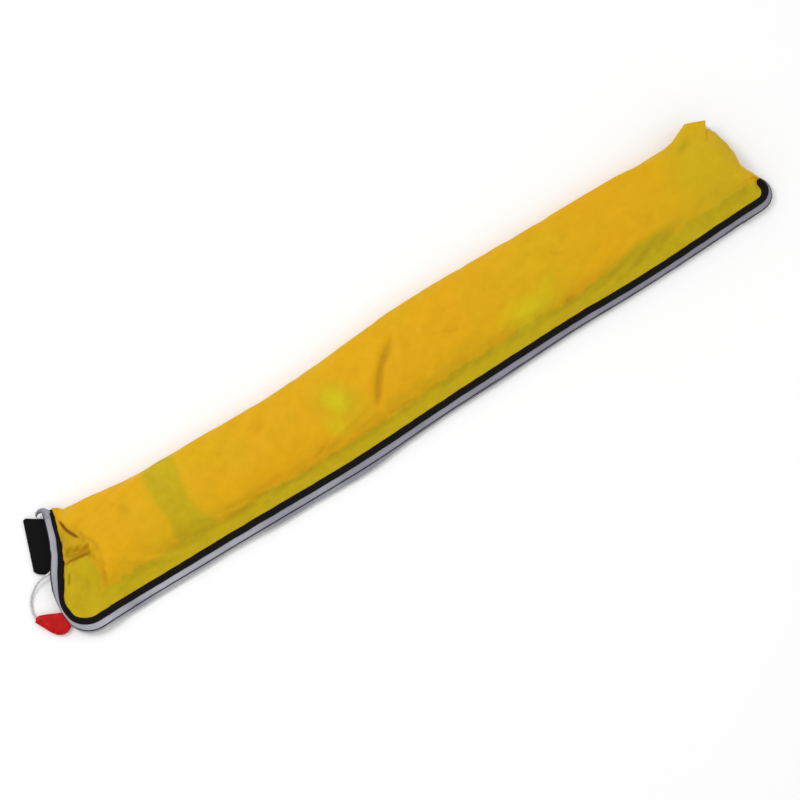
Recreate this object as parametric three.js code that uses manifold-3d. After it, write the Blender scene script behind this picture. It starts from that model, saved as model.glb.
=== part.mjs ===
// Belt-pack inflatable life jacket, packed flat: a zipped nylon pouch that holds a folded bladder,
// a manual CO2 inflator and an oral tube, carried on a webbing belt that is folded flat beneath it.
// Millimetres. X runs along the pouch, the long zip edge is on -Y, the fold is on +Y, +Z is up, and
// the pack lies on Z = 0 with the origin under the middle of its outline.
import * as THREE from 'three';
import { mergeVertices } from 'three/addons/utils/BufferGeometryUtils.js';
import Module from 'manifold-3d';

const wasm = await Module();
wasm.setup();

// ---------------------------------------------------------------- driving dimensions
const GAP = 0.3; // clearance kept between touching pieces

// pouch outline: where the nylon meets the zip binding
const POUCH_LEFT = -432;
const POUCH_RIGHT = 431;
const ZIP_EDGE_Y = -57.5; // long lower edge of the nylon
const FOLD_EDGE_Y = 50; // fold edge of the nylon
const LEFT_CORNER_RADIUS = 26;
const RIGHT_CORNER_RADIUS = 14;
const LEFT_CURVE = 0.0031; // how fast the left end leans away above the corner, per mm
const RIGHT_SLANT = 0.25; // mm of lean per mm of height at the right end
const LEAN_REACH = 180; // how far from an end its lean fades out

// shells
const NYLON = 1.2;
const PARTING_Z = 10; // height of the zip line
const LID_RISE = 26; // crown of the lid over the zip line
const LID_SEAT = 11; // mid-height of the lid's edge
const TRAY_SEAT = 9; // mid-height of the tray's edge
const FLOOR_MID = NYLON / 2;
const RECESS_MID = 5.6; // tray underside over the belt
const LEFT_RAMP = 38; // how far the lid takes to rise from each end
const RIGHT_RAMP = 22;
const TRAY_RAMP = 15;

// zip lip, as offsets outwards from the nylon edge
const BINDING = [0.3, 6.3];
const TAPE = [6.6, 13];
const COIL = [13.3, 15.3];

// belt
const WEB_WIDTH = 62;
const WEB_THICK = 1.5;
const WEB_LOWER_Z = WEB_THICK / 2;
const WEB_UPPER_Z = 3.45;
const BELT_LEFT = -438;
const BELT_RIGHT = 262;
const BELT_Y = -1;
const BELT_SWING = 53; // how far the belt has moved across at its left fold
const HUMP = 8; // how far the upper belt layer and the tray rise over the buckle
const HUMP_STATIONS = [20, 55, 215, 245];
const BELT_ZONE_RIGHT = 281;
const BELT_TURN = -114; // left of here the belt bends away from the pouch's middle

// inflator, about the lever pivot
const PIVOT = new THREE.Vector3(-378, 7, 21);
const LEVER_REACH = 28;
const LEVER_REST_DEG = 65;
const CYLINDER_RADIUS = 11;
const CYLINDER_LENGTH = 105;
const STEM_X = 24;
const STEM_Y = 16;

// oral tube
const TUBE_Y = -22;
const TUBE_Z = 17;
const TUBE_RADIUS = 6;

// pull cord and toggle
const CORD_DIAMETER = 2.6;
const CORD_EXIT = new THREE.Vector3(-438.6, 13, PARTING_Z);
const CORD_START_Z = 17.5; // where the cord hangs from the lever's eye
const CORD_LIFT = 1.7; // how far each half of the zip lip gives way around the cord
const LIFT_FADE = 12; // how far into the pouch that lift fades out

// stations along the pouch, closer together where the shape turns
const STATIONS = [
  -432, -430, -426, -419, -406, -392, -370, -340, -300, -255, -210, -165, -120, -75, -30,
  20, 55, 110, 165, 215, 245, 280, 320, 360, 385, 403, 415, 423, 428, 431,
];

// ---------------------------------------------------------------- materials
function finish(color, roughness, metalness = 0) {
  return new THREE.MeshStandardMaterial({ color, roughness, metalness });
}
const LOOKS = {
  nylon: finish(0xd9ae14, 0.55),
  bladder: finish(0xe8a012, 0.5),
  binding: finish(0x1a1714, 0.85),
  silver: finish(0x9a9aa0, 0.4, 0.3),
  coil: finish(0x2a2a2d, 0.6),
  webbing: finish(0x141416, 0.9),
  blackPlastic: finish(0x18181a, 0.5),
  red: finish(0xb4100f, 0.3),
  green: finish(0x2c9a3c, 0.4),
  cord: finish(0xe4e4e2, 0.45),
  steel: finish(0x9ea2a6, 0.35, 0.9),
  rubber: finish(0x1c1c1c, 0.85),
};

// ---------------------------------------------------------------- helpers
const clamp = THREE.MathUtils.clamp;

/** Flip a closed mesh that came out inside out. */
function facingOut(geometry) {
  const position = geometry.getAttribute('position');
  const index = geometry.getIndex();
  const corner = (i) => new THREE.Vector3().fromBufferAttribute(position, index ? index.getX(i) : i);
  const count = index ? index.count : position.count;
  let volume = 0;
  for (let i = 0; i < count; i += 3) {
    volume += corner(i).dot(corner(i + 1).cross(corner(i + 2)));
  }
  if (volume >= 0) return geometry;
  const flipped = Array.from({ length: count }, (_, i) => (index ? index.getX(i) : i));
  for (let i = 0; i < count; i += 3) {
    [flipped[i + 1], flipped[i + 2]] = [flipped[i + 2], flipped[i + 1]];
  }
  geometry.setIndex(flipped);
  return geometry;
}

/** Positions only, shared corners merged and slivers of no area dropped. */
function welded(geometry) {
  const bare = new THREE.BufferGeometry();
  bare.setAttribute('position', geometry.getAttribute('position').clone());
  const source = geometry.getIndex();
  bare.setIndex(source ? source.clone() : [...Array(bare.getAttribute('position').count).keys()]);
  const merged = mergeVertices(bare, 1e-3);
  const old = merged.getIndex();
  const kept = [];
  for (let i = 0; i < old.count; i += 3) {
    const [a, b, c] = [old.getX(i), old.getX(i + 1), old.getX(i + 2)];
    if (a !== b && b !== c && c !== a) kept.push(a, b, c);
  }
  merged.setIndex(kept);
  return facingOut(merged);
}

/** A cube of nx by ny by nz cells whose corners are placed by place(u, v, w), each 0 to 1. */
function warpedBox(nx, ny, nz, place) {
  const geometry = new THREE.BoxGeometry(1, 1, 1, nx, ny, nz);
  const position = geometry.getAttribute('position');
  for (let i = 0; i < position.count; i += 1) {
    const point = place(position.getX(i) + 0.5, position.getY(i) + 0.5, position.getZ(i) + 0.5);
    position.setXYZ(i, point.x, point.y, point.z);
  }
  return welded(geometry);
}

function toSolid(geometry) {
  const bare = welded(geometry);
  const vertProperties = new Float32Array(bare.getAttribute('position').array);
  const triVerts = new Uint32Array(bare.getIndex().array);
  return new wasm.Manifold(new wasm.Mesh({ numProp: 3, vertProperties, triVerts }));
}

function toGeometry(solid) {
  const mesh = solid.getMesh();
  const geometry = new THREE.BufferGeometry();
  geometry.setAttribute('position', new THREE.BufferAttribute(mesh.vertProperties, 3));
  geometry.setIndex(new THREE.BufferAttribute(mesh.triVerts, 1));
  return geometry;
}

/** Join the first list of geometries and cut the second list away. */
function carve(joined, cuts) {
  let solid = toSolid(joined[0]);
  for (const extra of joined.slice(1)) solid = solid.add(toSolid(extra));
  for (const cut of cuts) solid = solid.subtract(toSolid(cut));
  return toGeometry(solid);
}

function box(x0, x1, y0, y1, z0, z1) {
  const geometry = new THREE.BoxGeometry(x1 - x0, y1 - y0, z1 - z0);
  return geometry.translate((x0 + x1) / 2, (y0 + y1) / 2, (z0 + z1) / 2);
}

/** Turn a profile of [radius, height] about the Z axis. */
function turned(profile, segments) {
  const points = profile.map(([r, h]) => new THREE.Vector2(r, h));
  return new THREE.LatheGeometry(points, segments).rotateX(Math.PI / 2);
}

/** Turn a profile of [radius, distance] about the X axis. */
function turnedAlongX(profile, segments) {
  const points = profile.map(([r, h]) => new THREE.Vector2(r, h));
  return new THREE.LatheGeometry(points, segments).rotateZ(-Math.PI / 2);
}

function tubeProfile(inner, outer, start, end) {
  return [[inner, start], [outer, start], [outer, end], [inner, end], [inner, start]];
}

function rodProfile(radius, start, end) {
  return [[0, start], [radius, start], [radius, end], [0, end]];
}

function slab(shape, z0, z1, curveSegments = 6) {
  const options = { depth: z1 - z0, bevelEnabled: false, curveSegments };
  return new THREE.ExtrudeGeometry(shape, options).translate(0, 0, z0);
}

function roundedRectangle(x0, x1, y0, y1, radius) {
  const shape = new THREE.Shape();
  shape.moveTo(x0 + radius, y0);
  shape.lineTo(x1 - radius, y0);
  shape.absarc(x1 - radius, y0 + radius, radius, -Math.PI / 2, 0);
  shape.lineTo(x1, y1 - radius);
  shape.absarc(x1 - radius, y1 - radius, radius, 0, Math.PI / 2);
  shape.lineTo(x0 + radius, y1);
  shape.absarc(x0 + radius, y1 - radius, radius, Math.PI / 2, Math.PI);
  shape.lineTo(x0, y0 + radius);
  shape.absarc(x0 + radius, y0 + radius, radius, Math.PI, Math.PI * 1.5);
  return shape;
}

function circle(radius, sides) {
  const shape = new THREE.Shape();
  for (let i = 0; i < sides; i += 1) {
    const angle = (i / sides) * Math.PI * 2;
    const point = [radius * Math.cos(angle), radius * Math.sin(angle)];
    if (i === 0) shape.moveTo(...point);
    else shape.lineTo(...point);
  }
  shape.closePath();
  return shape;
}

/** Value at x on the straight lines that join the [x, value] pairs. */
function interpolate(pairs, x) {
  if (x <= pairs[0][0]) return pairs[0][1];
  for (let i = 1; i < pairs.length; i += 1) {
    const [x1, y1] = pairs[i];
    const [x0, y0] = pairs[i - 1];
    if (x <= x1) return y0 + ((y1 - y0) * (x - x0)) / (x1 - x0);
  }
  return pairs[pairs.length - 1][1];
}

const group = new THREE.Group();
const inflator = new THREE.Group();
inflator.position.copy(PIVOT);
group.add(inflator);

function addPart(name, geometry, material, parent = group) {
  const mesh = new THREE.Mesh(facingOut(geometry), material);
  mesh.name = name;
  parent.add(mesh);
}

// ---------------------------------------------------------------- pouch outline
const bump = (x, centre, reach) => Math.exp(-(((x - centre) / reach) ** 2));
const cornerRise = (d, radius) => (d < radius ? radius - Math.sqrt(radius ** 2 - (radius - d) ** 2) : 0);

function lowerEdge(x) {
  const wave = -4 * bump(x, -105, 110) + 3.5 * bump(x, 431, 120) + 1.5 * bump(x, 180, 60);
  const corners =
    cornerRise(x - POUCH_LEFT, LEFT_CORNER_RADIUS) + cornerRise(POUCH_RIGHT - x, RIGHT_CORNER_RADIUS);
  return ZIP_EDGE_Y + wave + corners;
}

function foldEdge(x) {
  return FOLD_EDGE_Y + 9 * bump(x, -415, 70) - 3 * bump(x, -150, 80) + 4 * bump(x, 60, 110);
}

/** Plan position on station x at height y: the ends lean with distance from the zip corner. */
function lean(x, y) {
  const left = clamp(1 - (x - POUCH_LEFT) / LEAN_REACH, 0, 1);
  const right = clamp(1 - (POUCH_RIGHT - x) / LEAN_REACH, 0, 1);
  const up = Math.max(0, y + 42);
  return x + left * LEFT_CURVE * up ** 2 - right * RIGHT_SLANT * Math.max(0, y + 45);
}

/** Plan points of the nylon's edge: down the left end, along the zip side and up the right end. */
function lipPath(topLeft, topRight) {
  const path = [];
  const leftStart = lowerEdge(POUCH_LEFT);
  const leftSteps = Math.round((topLeft - leftStart) / 9);
  for (let i = 0; i < leftSteps; i += 1) {
    const y = THREE.MathUtils.lerp(topLeft, leftStart, i / leftSteps);
    path.push(new THREE.Vector2(lean(POUCH_LEFT, y), y));
  }
  for (const x of STATIONS) path.push(new THREE.Vector2(lean(x, lowerEdge(x)), lowerEdge(x)));
  const rightStart = lowerEdge(POUCH_RIGHT);
  const rightSteps = 6;
  for (let i = 1; i <= rightSteps; i += 1) {
    const y = THREE.MathUtils.lerp(rightStart, topRight, i / rightSteps);
    path.push(new THREE.Vector2(lean(POUCH_RIGHT, y), y));
  }
  return path;
}

/** How far the zip lip gives way, up or down, around the pull cord's straight run. */
function cordLift(x, y) {
  if (x > -395) return 0;
  const angle = THREE.MathUtils.degToRad(LEVER_REST_DEG - 50);
  const distance = Math.abs((x - CORD_EXIT.x) * Math.sin(angle) - (y - CORD_EXIT.y) * Math.cos(angle));
  return CORD_LIFT * clamp((22 - distance) / 12, 0, 1);
}

/** A flat ribbon that follows the zip line. side is +1 on the lid and -1 on the tray. */
function lipRibbon([inner, outer], [z0, z1], side, topLeft, topRight) {
  const path = lipPath(topLeft, topRight);
  const last = path.length - 1;
  return warpedBox(last, 1, 1, (u, v, w) => {
    const i = Math.round(u * last);
    const ahead = path[Math.min(last, i + 1)];
    const behind = path[Math.max(0, i - 1)];
    const along = ahead.clone().sub(behind).normalize();
    const offset = THREE.MathUtils.lerp(inner, outer, v);
    const x = path[i].x + along.y * offset;
    const y = path[i].y - along.x * offset;
    const z = PARTING_Z + side * (THREE.MathUtils.lerp(z0, z1, w) + cordLift(x, y));
    return new THREE.Vector3(x, y, z);
  });
}

// ---------------------------------------------------------------- pouch shells
const LID_ROWS = [0, 0.05, 0.13, 0.24, 0.38, 0.55, 0.75, 0.9, 0.98, 1];
const LID_SECTION = [
  [0, 0], [0.05, 0.03], [0.13, 0.16], [0.24, 0.6], [0.38, 0.92],
  [0.55, 1], [0.75, 0.96], [0.9, 0.74], [0.98, 0.36], [1, -0.025],
];
const TRAY_ROWS = [0, 0.035, 0.075, 0.12, 0.165, 0.5, 0.88, 0.915, 0.955, 0.99, 1];

function rampUp(x, y) {
  const left = clamp((lean(x, y) - lean(POUCH_LEFT, y)) / LEFT_RAMP, 0, 1);
  const right = clamp((lean(POUCH_RIGHT, y) - lean(x, y)) / RIGHT_RAMP, 0, 1);
  return Math.sin((Math.PI / 2) * left) ** 0.8 * Math.sin((Math.PI / 2) * right) ** 0.6;
}

function lidMiddle(x, across) {
  const y = THREE.MathUtils.lerp(lowerEdge(x), foldEdge(x), across);
  const edgeLift = cordLift(lean(x, y), y) * clamp(1 - (x - POUCH_LEFT) / LIFT_FADE, 0, 1);
  const rise = LID_RISE * interpolate(LID_SECTION, across) * rampUp(x, y);
  return new THREE.Vector3(lean(x, y), y, LID_SEAT + rise + edgeLift);
}

function recessHeight(x) {
  const [a, b, c, d] = HUMP_STATIONS;
  return RECESS_MID + HUMP * interpolate([[a, 0], [b, 1], [c, 1], [d, 0]], x);
}

function trayMiddle(x, across) {
  const y = THREE.MathUtils.lerp(lowerEdge(x), foldEdge(x), across);
  const belted = x < BELT_ZONE_RIGHT ? recessHeight(x) : FLOOR_MID;
  const rim = x < -160 ? belted : FLOOR_MID;
  const section = [
    [0, TRAY_SEAT], [0.035, 4.6], [0.075, FLOOR_MID], [0.12, FLOOR_MID], [0.165, belted],
    [0.88, belted], [0.915, rim], [0.955, rim], [0.99, Math.max(4.5, rim)], [1, TRAY_SEAT + 0.6],
  ];
  const settled = interpolate(section, across);
  const ramp = clamp(Math.min(x - POUCH_LEFT, POUCH_RIGHT - x) / TRAY_RAMP, 0, 1);
  const edgeDrop = cordLift(lean(x, y), y) * clamp(1 - (x - POUCH_LEFT) / LIFT_FADE, 0, 1);
  return new THREE.Vector3(lean(x, y), y, THREE.MathUtils.lerp(TRAY_SEAT, settled, ramp) - edgeDrop);
}

/** A sheet of nylon either side of a middle surface, over the stations and rows given. */
function nylonShell(middle, rows) {
  const nx = STATIONS.length - 1;
  const ny = rows.length - 1;
  const step = 0.01;
  return warpedBox(nx, ny, 1, (u, v, w) => {
    const x = STATIONS[Math.round(u * nx)];
    const across = rows[Math.round(v * ny)];
    const ahead = middle(Math.min(POUCH_RIGHT, x + step), across);
    const behind = middle(Math.max(POUCH_LEFT, x - step), across);
    const above = middle(x, Math.min(1, across + 0.001));
    const below = middle(x, Math.max(0, across - 0.001));
    const normal = ahead.sub(behind).cross(above.sub(below)).normalize();
    if (u === 0 || u === 1 || v === 0) normal.set(0, 0, 1); // the sewn edges lie flat
    return middle(x, across).addScaledVector(normal, (w - 0.5) * NYLON);
  });
}

function addPouch() {
  addPart('cover_front', nylonShell(lidMiddle, LID_ROWS), LOOKS.nylon);
  addPart('cover_back', nylonShell(trayMiddle, TRAY_ROWS), LOOKS.nylon);
  const lidTop = [foldEdge(POUCH_LEFT) - 7, foldEdge(POUCH_RIGHT) - 6];
  const trayTop = [foldEdge(POUCH_LEFT), foldEdge(POUCH_RIGHT)];
  addPart('binding_front', lipRibbon(BINDING, [0.3, 1.7], 1, ...lidTop), LOOKS.binding);
  addPart('zip_tape_front', lipRibbon(TAPE, [0.4, 1.2], 1, ...lidTop), LOOKS.silver);
  addPart('zip_coil_front', lipRibbon(COIL, [0.15, 1.4], 1, ...lidTop), LOOKS.coil);
  addPart('binding_back', lipRibbon(BINDING, [0.3, 1.7], -1, ...trayTop), LOOKS.binding);
  addPart('zip_tape_back', lipRibbon(TAPE, [0.4, 1.2], -1, ...trayTop), LOOKS.silver);
  addPart('zip_coil_back', lipRibbon(COIL, [0.15, 1.4], -1, ...trayTop), LOOKS.coil);
}

// ---------------------------------------------------------------- zip slider
function addSlider() {
  const slider = new THREE.Group();
  const y = 40;
  slider.position.set(lean(POUCH_RIGHT, y), y, PARTING_Z);
  slider.rotation.z = Math.atan(RIGHT_SLANT);
  group.add(slider);
  const outer = COIL[1] + GAP;
  const plate = box(outer, outer + 1.4, -7, 7, -3.2, 2.6);
  const flange = box(COIL[0] - 0.4, outer + 0.2, -7, 7, -3.2, -1.8);
  const lug = box(outer + 1.2, outer + 3, 3, 5.6, -1.6, 1.2);
  addPart('zip_slider', carve([plate, flange, lug], []), LOOKS.steel, slider);
  const near = outer + 1.4 + GAP;
  const pull = roundedRectangle(near, near + 1.3, -24, 2.6, 0.5);
  addPart('zip_pull', slab(pull, -2.2, 1.8, 2), LOOKS.steel, slider);
}

// ---------------------------------------------------------------- bladder
const BLADDER_ROWS = [0.175, 0.24, 0.34, 0.45, 0.6, 0.76, 0.87];
const TONGUE_TOP = 8.2;

function bladderTop(x, across) {
  const full = lidMiddle(x, across).z - 3.2;
  if (x > -200) return full;
  const lobe = across > 0.8 && x < -230 && x > -330;
  return lobe ? Math.min(full, 24) : TONGUE_TOP;
}

function addBladder() {
  const columns = STATIONS.filter((x) => x > -410 && x < 412);
  const nx = columns.length - 1;
  const ny = BLADDER_ROWS.length - 1;
  const bottom = (x) => recessHeight(x) + NYLON / 2 + 0.7;
  addPart('bladder', warpedBox(nx, ny, 1, (u, v, w) => {
    const x = columns[Math.round(u * nx)];
    const across = BLADDER_ROWS[Math.round(v * ny)];
    const y = THREE.MathUtils.lerp(lowerEdge(x), foldEdge(x), across);
    const base = bottom(x);
    const top = Math.max(base + 1.2, bladderTop(x, across));
    return new THREE.Vector3(lean(x, y), y, w > 0.5 ? top : base);
  }), LOOKS.bladder);
}

// ---------------------------------------------------------------- belt and buckle
function beltCentre(x) {
  const reach = Math.max(0, BELT_TURN - x) / (BELT_TURN - BELT_LEFT);
  return BELT_Y + BELT_SWING * reach ** 2;
}

/** Side view of the belt's middle line, from the latch end round both folds to the tongue end. */
function beltPath() {
  const fold = (x, side) => {
    const radius = (WEB_UPPER_Z - WEB_LOWER_Z) / 2;
    const turns = [0, 0.25, 0.5, 0.75, 1].map((k) => k * Math.PI);
    return turns.map((a) => [x + side * radius * Math.sin(a), WEB_LOWER_Z + radius * (1 - Math.cos(a))]);
  };
  const [rise, up, down, rest] = HUMP_STATIONS;
  const curve = [-120, -165, -210, -255, -300, -340, -375, -405, -428];
  const left = fold(BELT_LEFT, -1);
  const lower = [75, 20, ...curve];
  const back = [...curve.toReversed(), -75, rise + 8];
  const path = lower.map((x) => [x, WEB_LOWER_Z]);
  path.push(...left, ...back.map((x) => [x, WEB_UPPER_Z]));
  path.push([up, WEB_UPPER_Z + HUMP], [down, WEB_UPPER_Z + HUMP], [rest - 5, WEB_UPPER_Z]);
  path.push(...fold(BELT_RIGHT, 1).reverse(), [200, WEB_LOWER_Z], [138, WEB_LOWER_Z]);
  return path;
}

function addBelt() {
  const path = beltPath();
  const last = path.length - 1;
  addPart('belt_webbing', warpedBox(last, 1, 1, (u, v, w) => {
    const i = Math.round(u * last);
    const [x0, z0] = path[Math.max(0, i - 1)];
    const [x1, z1] = path[Math.min(last, i + 1)];
    const along = new THREE.Vector2(x1 - x0, z1 - z0).normalize();
    const thick = (w - 0.5) * WEB_THICK;
    const x = path[i][0] - along.y * thick;
    const z = path[i][1] + along.x * thick;
    const heading = Math.atan2(beltCentre(x + 1) - beltCentre(x - 1), 2);
    const side = (v - 0.5) * WEB_WIDTH;
    return new THREE.Vector3(x - Math.sin(heading) * side, beltCentre(x) + Math.cos(heading) * side, z);
  }), LOOKS.webbing);
  for (const [name, x] of [['keeper_left', -200], ['keeper_right', -20]]) {
    const rows = [-38, -34.4, -32.8, 30.8, 32.4, 36];
    const heights = [4.3, 4.3, 2.1, 2.1, 4.3, 4.3];
    addPart(name, warpedBox(1, 5, 1, (u, v, w) => {
      const i = Math.round(v * 5);
      const along = x + (u - 0.5) * 30;
      const across = rows[i] + beltCentre(along) - BELT_Y;
      return new THREE.Vector3(along, across, heights[i] + (w - 0.5) * 0.6);
    }), LOOKS.webbing);
  }
}

function addBuckle() {
  const half = 36;
  const top = 10.3;
  const webHalf = WEB_WIDTH / 2 + 0.6;
  const y = BELT_Y;
  const latch = carve(
    [slab(roundedRectangle(60, 116, y - half, y + half, 5), 0.3, top)],
    [
      box(50, 78, y - webHalf, y + webHalf, -1, 1.9),
      box(70, 77, y - webHalf, y + webHalf, -1, top + 1),
      box(84, 120, y - half - 1, y - 7, 2.6, top - 2.4),
      box(84, 120, y + 7, y + half + 1, 2.6, top - 2.4),
      box(96, 120, y - 8, y + 8, 2.6, top - 2.4),
    ],
  );
  addPart('buckle_latch', latch, LOOKS.blackPlastic);
  const arm = (side) => {
    const a = y + side * 20;
    const b = y + side * 34;
    return slab(roundedRectangle(86, 122, Math.min(a, b), Math.max(a, b), 3.5), 3, top - 2.8);
  };
  const tongue = carve(
    [
      slab(roundedRectangle(118, 162, y - half, y + half, 4), 0.3, top),
      arm(-1),
      arm(1),
      box(100, 122, y - 5, y + 5, 3, top - 2.8),
    ],
    [
      box(110, 170, y - webHalf, y + webHalf, -1, 1.9),
      box(130, 137, y - webHalf, y + webHalf, -1, top + 1),
      box(145, 153, y - webHalf, y + webHalf, -1, top + 1),
    ],
  );
  addPart('buckle_tongue', tongue, LOOKS.blackPlastic);
}

// ---------------------------------------------------------------- inflator
function addInflatorBody() {
  const cheeks = slab(roundedRectangle(-6, 20, -9, 9, 4), -7, 7);
  const block = slab(roundedRectangle(12, 48, -13, 13, 3), -7, 7);
  const boss = turned(rodProfile(10, -7, 7), 24).translate(STEM_X, STEM_Y, 0);
  const socket = turnedAlongX(rodProfile(CYLINDER_RADIUS + 1.4, 44, 60), 28);
  const cuts = [
    box(-12, 13.5, -20, 20, -3.4, 3.4),
    turned(rodProfile(1.8, -10, 10), 14),
    turnedAlongX(rodProfile(4.2, 12, 36), 16),
    turnedAlongX(rodProfile(6.5, 35.5, 48), 20),
    turnedAlongX(rodProfile(CYLINDER_RADIUS + GAP, 46.5, 62), 28),
    turned(rodProfile(5.4, -10, 10), 20).translate(STEM_X, STEM_Y, 0),
  ];
  addPart('inflator_body', carve([cheeks, block, boss, socket], cuts), LOOKS.blackPlastic, inflator);
  addPart('lever_pivot_pin', turned(rodProfile(1.5, -6.9, 6.9), 12), LOOKS.steel, inflator);
}

/** Cam hub with a spiral lobe, and an arm that ends in an eye for the cord. */
function addLever() {
  const hub = 4.6;
  const lobe = 5;
  const sweep = 80;
  const shape = new THREE.Shape();
  const point = (radius, degrees) => {
    const angle = THREE.MathUtils.degToRad(degrees);
    return [radius * Math.cos(angle), radius * Math.sin(angle)];
  };
  shape.moveTo(...point(hub + lobe, -sweep));
  for (let a = -sweep + 10; a <= 10; a += 10) {
    shape.lineTo(...point(hub + lobe * (1 - clamp((a + sweep) / sweep, 0, 1)), a));
  }
  const arm = THREE.MathUtils.degToRad(LEVER_REST_DEG);
  const onArm = (along, aside) => [
    along * Math.cos(arm) - aside * Math.sin(arm),
    along * Math.sin(arm) + aside * Math.cos(arm),
  ];
  shape.lineTo(...onArm(5, -3.4));
  shape.lineTo(...onArm(LEVER_REACH, -3.8));
  for (let a = -60; a <= 60; a += 30) {
    const turn = THREE.MathUtils.degToRad(a);
    shape.lineTo(...onArm(LEVER_REACH + 3.8 * Math.cos(turn), 3.8 * Math.sin(turn)));
  }
  shape.lineTo(...onArm(LEVER_REACH, 3.8));
  shape.lineTo(...onArm(5, 3.4));
  for (let a = 150; a <= 250; a += 25) shape.lineTo(...point(hub, a));
  shape.closePath();
  const eye = turned(rodProfile(1.7, -5, 5), 10).translate(...onArm(LEVER_REACH, 0), 0);
  const pinHole = turned(rodProfile(1.8, -5, 5), 14);
  addPart('inflator_lever', carve([slab(shape, -3, 3)], [eye, pinHole]), LOOKS.blackPlastic, inflator);
}

function addFiringTrain() {
  const pin = [[0, 5.4], [1, 5.4], [2, 6.4], [2, 15], [3.6, 15], [3.6, 17], [2, 17], [2, 27], [0, 31]];
  addPart('firing_pin', turnedAlongX(pin, 14), LOOKS.steel, inflator);
  const turns = 4;
  const steps = turns * 10;
  const coil = [];
  for (let i = 0; i <= steps; i += 1) {
    const angle = (i / steps) * turns * Math.PI * 2;
    const x = 24 + (i / steps) * 9;
    coil.push(new THREE.Vector3(x, 3.2 * Math.cos(angle), 3.2 * Math.sin(angle)));
  }
  const spring = new THREE.ExtrudeGeometry(circle(0.4, 5), {
    steps,
    extrudePath: new THREE.CatmullRomCurve3(coil),
    bevelEnabled: false,
  });
  addPart('firing_spring', spring, LOOKS.steel, inflator);
  addPart('cylinder_seal', turnedAlongX(tubeProfile(3.4, 6.1, 35.8, 37.6), 18), LOOKS.rubber, inflator);
  const r = CYLINDER_RADIUS;
  const end = 48 + CYLINDER_LENGTH;
  const bottle = [
    [0, 38], [6, 38], [6, 47], [r - 2, 48.5], [r, 51], [r, end - 7],
    [r * 0.86, end - 2.8], [r * 0.5, end - 0.6], [0, end],
  ];
  addPart('co2_cylinder', turnedAlongX(bottle, 24), LOOKS.steel, inflator);
}

function addManifold() {
  const stand = new THREE.Group();
  stand.position.set(STEM_X, STEM_Y, 0);
  inflator.add(stand);
  const stem = [
    [0, -12.4], [17, -12.4], [17, -11], [8, -10.4], [8, -8.8], [5, -8.8],
    [5, 9], [3.4, 9], [3.4, 11.8], [0, 11.8],
  ];
  addPart('manifold_stem', turned(stem, 22), LOOKS.steel, stand);
  addPart('gasket_lower', turned(tubeProfile(5.4, 9, -8.5, -7.3), 22), LOOKS.rubber, stand);
  addPart('gasket_upper', turned(tubeProfile(5.4, 9, 7.3, 8.3), 22), LOOKS.rubber, stand);
  const nut = [
    [0, 13], [5.6, 13], [7.8, 11.4], [8.2, 8.6], [5.3, 8.6], [5.3, 9.3],
    [3.7, 9.3], [3.7, 12.1], [0, 12.1],
  ];
  addPart('cap_nut', turned(nut, 18), LOOKS.blackPlastic, stand);
}

function addStatusClip() {
  const clip = slab(roundedRectangle(22, 34, -14.6, -13.3, 0.5), -4, 4, 2);
  addPart('status_clip', clip, LOOKS.green, inflator);
}

// ---------------------------------------------------------------- oral tube
function addOralTube() {
  const flangeX = -228;
  const flange = [[0, 8.7], [13, 8.7], [13, 9.7], [4, 9.7], [3.6, 12.6], [0, 12.6]];
  const place = (geometry) => geometry.translate(flangeX, TUBE_Y, 0);
  addPart('oral_tube_flange', place(turned(flange, 18)), LOOKS.rubber);
  const bore = circle(TUBE_RADIUS, 14);
  bore.holes.push(circle(4.2, 14));
  const route = new THREE.CatmullRomCurve3([
    new THREE.Vector3(flangeX - 5, TUBE_Y, TUBE_Z),
    new THREE.Vector3(flangeX - 30, TUBE_Y, TUBE_Z),
    new THREE.Vector3(flangeX - 60, TUBE_Y, TUBE_Z),
    new THREE.Vector3(flangeX - 90, TUBE_Y, TUBE_Z),
  ]);
  const tube = new THREE.ExtrudeGeometry(bore, { steps: 10, extrudePath: route, bevelEnabled: false });
  addPart('oral_tube', tube, LOOKS.rubber);
  const valve = new THREE.Group();
  valve.position.set(flangeX - 90, TUBE_Y, TUBE_Z);
  group.add(valve);
  const seat = [
    [2.6, -14], [5.4, -14], [5.4, -0.4], [3.8, -0.4], [3.8, 12],
    [3.2, 12], [3.2, -6], [2.6, -6], [2.6, -14],
  ];
  addPart('oral_valve_body', turnedAlongX(seat, 16), LOOKS.blackPlastic, valve);
  const plunger = [[0, -15], [2.2, -15], [2.2, -3], [2.9, -3], [2.9, -1.4], [0, -1.4]];
  addPart('oral_valve_plunger', turnedAlongX(plunger, 14), LOOKS.red, valve);
  const cap = [[0, -19], [7, -19], [7, -8], [5.8, -8], [5.8, -17.4], [0, -17.4]];
  addPart('oral_dust_cap', turnedAlongX(cap, 18), LOOKS.blackPlastic, valve);
}

// ---------------------------------------------------------------- pull cord and toggle
const TOGGLE_TIP = new THREE.Vector3(-474.5, -18, 4);
const TOGGLE_DIRECTION = THREE.MathUtils.degToRad(-38);

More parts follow.
